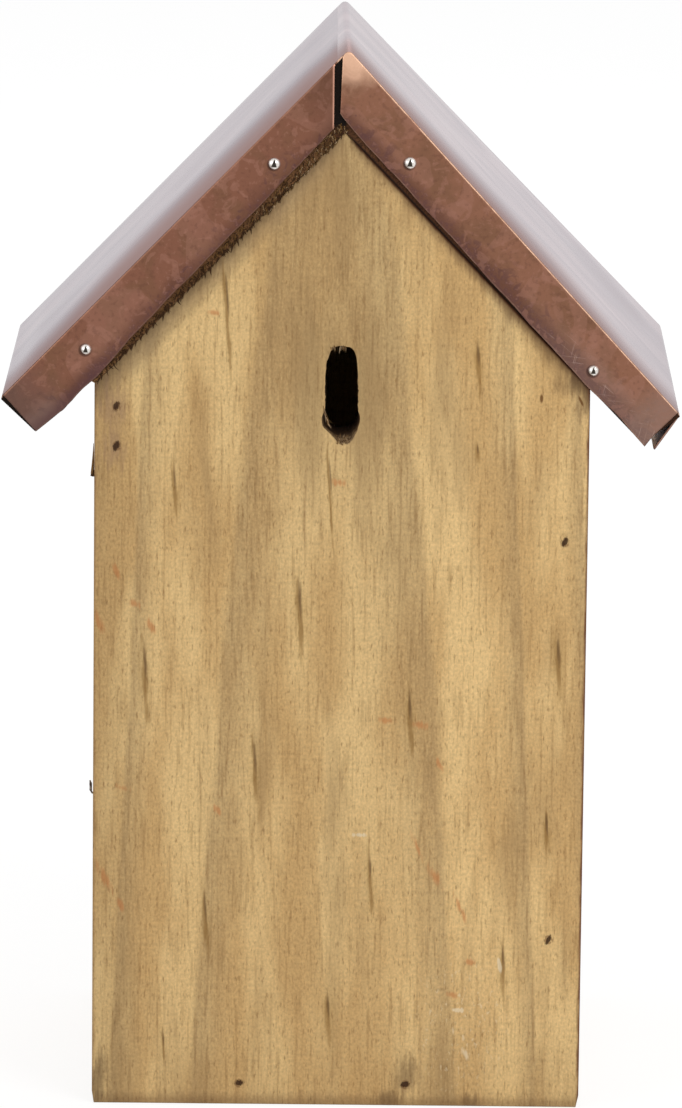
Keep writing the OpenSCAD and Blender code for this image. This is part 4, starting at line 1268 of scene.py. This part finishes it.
# %% [markdown]
# The back's pins and nails and the door's two pivots keep their solids, which already have the true form,
# and only get a finish. Each metal has its own: a bright dome gets a painted reflection of a dark wedge and
# painted shade on its lower left, the nails' heads are dull with rust and dirt, and the catch is weathered
# wire.

# %% Small metal parts
def metal(name, bright, dull, rough_low, rough_high, grain, shine=1.0, wedge=False, dirty=False):
    """A metal that is bright where noise is high and dull where it is low. The wedge is a painted reflection
    of something dark: it widens from the dome's top to below its middle, and the dome's lower left rim gets
    painted shade. The dirt is the same as on the wood round the nails."""
    material, place, normal = begin(name)
    clouds = place.noise(grain, grain, grain, detail=4)
    fine = place.noise(6 * grain, 6 * grain, 6 * grain, detail=2)
    colour = clouds.step(0.4, 0.65).blend(dull, bright)
    if wedge:
        # Painted reflection: a dark wedge, placed by the dome's normal.
        tilt_x, _, tilt_z = normal.axes()
        half = 0.07 + 0.34 * (0.62 - tilt_z)
        inside = (abs(tilt_x + 0.02 - 0.10 * tilt_z) - half).step(0.06, -0.06)
        inside = inside * tilt_z.step(0.72, 0.58) * tilt_z.step(-0.52, -0.34)
        colour = (inside * 0.97).blend(colour, (0.020, 0.014, 0.008))
        # Painted shade on the dome's lower left rim.
        rim = (0.7 * tilt_x + 0.5 * tilt_z).step(-0.25, -0.62)
        colour = (rim * 0.75).blend(colour, (0.20, 0.15, 0.12))
    if dirty:
        _, dirt = nail_grime(place)
        colour = (dirt * 0.92).blend(colour, srgb(48, 25, 11))
    rough = rough_high - (rough_high - rough_low) * clouds.step(0.35, 0.7) + 0.08 * fine
    relief = 0.015 * fine + 0.02 * clouds
    return finish(material, colour, rough, relief, metallic=shine, constants=WOOD_GLOSS if dirty else ())


nickel = metal("nickel", (0.90, 0.87, 0.82), (0.76, 0.72, 0.67), 0.10, 0.22, 1.1, wedge=True)
brad_steel = metal("brad_steel", (0.30, 0.19, 0.11), (0.12, 0.065, 0.035), 0.55, 0.8, 1.6,
                   shine=0.1, dirty=True)
catch_steel = metal("catch_steel", (0.40, 0.37, 0.35), (0.12, 0.09, 0.08), 0.35, 0.62, 0.9)
for node, material in (("back_cover_pins", nickel), ("back_brads", brad_steel),
                       ("door_pivot_front", brad_steel), ("door_pivot_back", brad_steel)):
    for place_for_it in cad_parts[node].material_slots:
        place_for_it.material = material
    print(material.name, "on", node)

# %% [markdown]
# Four of the metal parts are copies that differ a little from their solids. The front pins were
# driven in by eye, so each sits about a millimetre off, and the low ones have smaller heads. The
# front nails sit a little higher, and the roof nails lean with the roof. The catch was a nail: its
# wire is filed thin, its arm is short, and its shank slopes down into the wood.

# %% Pins, nails and catch set by hand
PIN_SIZE = {"low": 0.92, "high": 1.0}
NAIL_RISE = 0.6
CATCH_X, CATCH_Z = -66.0, 83.5
WIRE_SHARE, ARM_SHARE, ENTRY_DROP = 0.45, 0.5, 1.0


def set_pins(x, y, z):
    """Moves each front pin by its own small error; the low ones have slightly smaller heads."""
    new_x, new_z = x.copy(), z.copy()
    for ((side, end), (off_x, off_z)), (x_mid, z_mid) in zip(PIN_OFF.items(), pin_places):
        this_one = (np.sign(x) == side) & ((z < PINS_HALFWAY_Z) == (end == "low"))
        new_x[this_one] = x_mid + PIN_SIZE[end] * (x[this_one] + off_x - x_mid)
        new_z[this_one] = z_mid + PIN_SIZE[end] * (z[this_one] + off_z - z_mid)
    return new_x, new_z


def raise_nails(x, y, z):
    """Moves the front nails up by NAIL_RISE."""
    return x, z + NAIL_RISE


def filed_hook(x, y, z):
    """Thins the catch's wire and shortens its arm, and lets its shank slope down into the wood."""
    on_arm = smooth(-65.2, -65.5, x)
    thin_x = CATCH_X + (x - CATCH_X) * WIRE_SHARE
    low_z = CATCH_Z + (z - CATCH_Z) * WIRE_SHARE
    arm_z = CATCH_Z + (z - CATCH_Z) * ARM_SHARE
    slope = ENTRY_DROP * smooth(CATCH_X, CATCH_X + 1.2, x)
    return x + on_arm * (thin_x - x), low_z + on_arm * (arm_z - low_z) - slope


for name, node, material, body, slot, move in (
        ("front_pins", "front_cover_pins", nickel, "box", "pin_nickel", set_pins),
        ("front_nails", "front_brads", brad_steel, "box", "brad_steel", raise_nails),
        ("roof_nails", "roof_brads", brad_steel, "box", "brad_steel", lean_solid),
        ("wire_catch", "door_catch", catch_steel, "catch", "catch_steel", filed_hook)):
    piece = stand_in(name, node, copy_of(node, name, move), material, body)
    print(f"{name}: {len(piece.data.vertices)} points")

# %% [markdown]
# All pieces stand. The last cell writes down how large the solids and the pieces drawn here are, so that the
# two can be compared: dents, leaning boards and fibres may add a millimetre or two, not more.

# %% Sizes
visual_box = [list(corner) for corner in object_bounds()]
for low_high, cad, seen_box in zip(("Low", "High"), cad_box, visual_box):
    print(low_high, "corner moved by", [round((b - a) / MM, 2) for a, b in zip(cad, seen_box)], "mm")
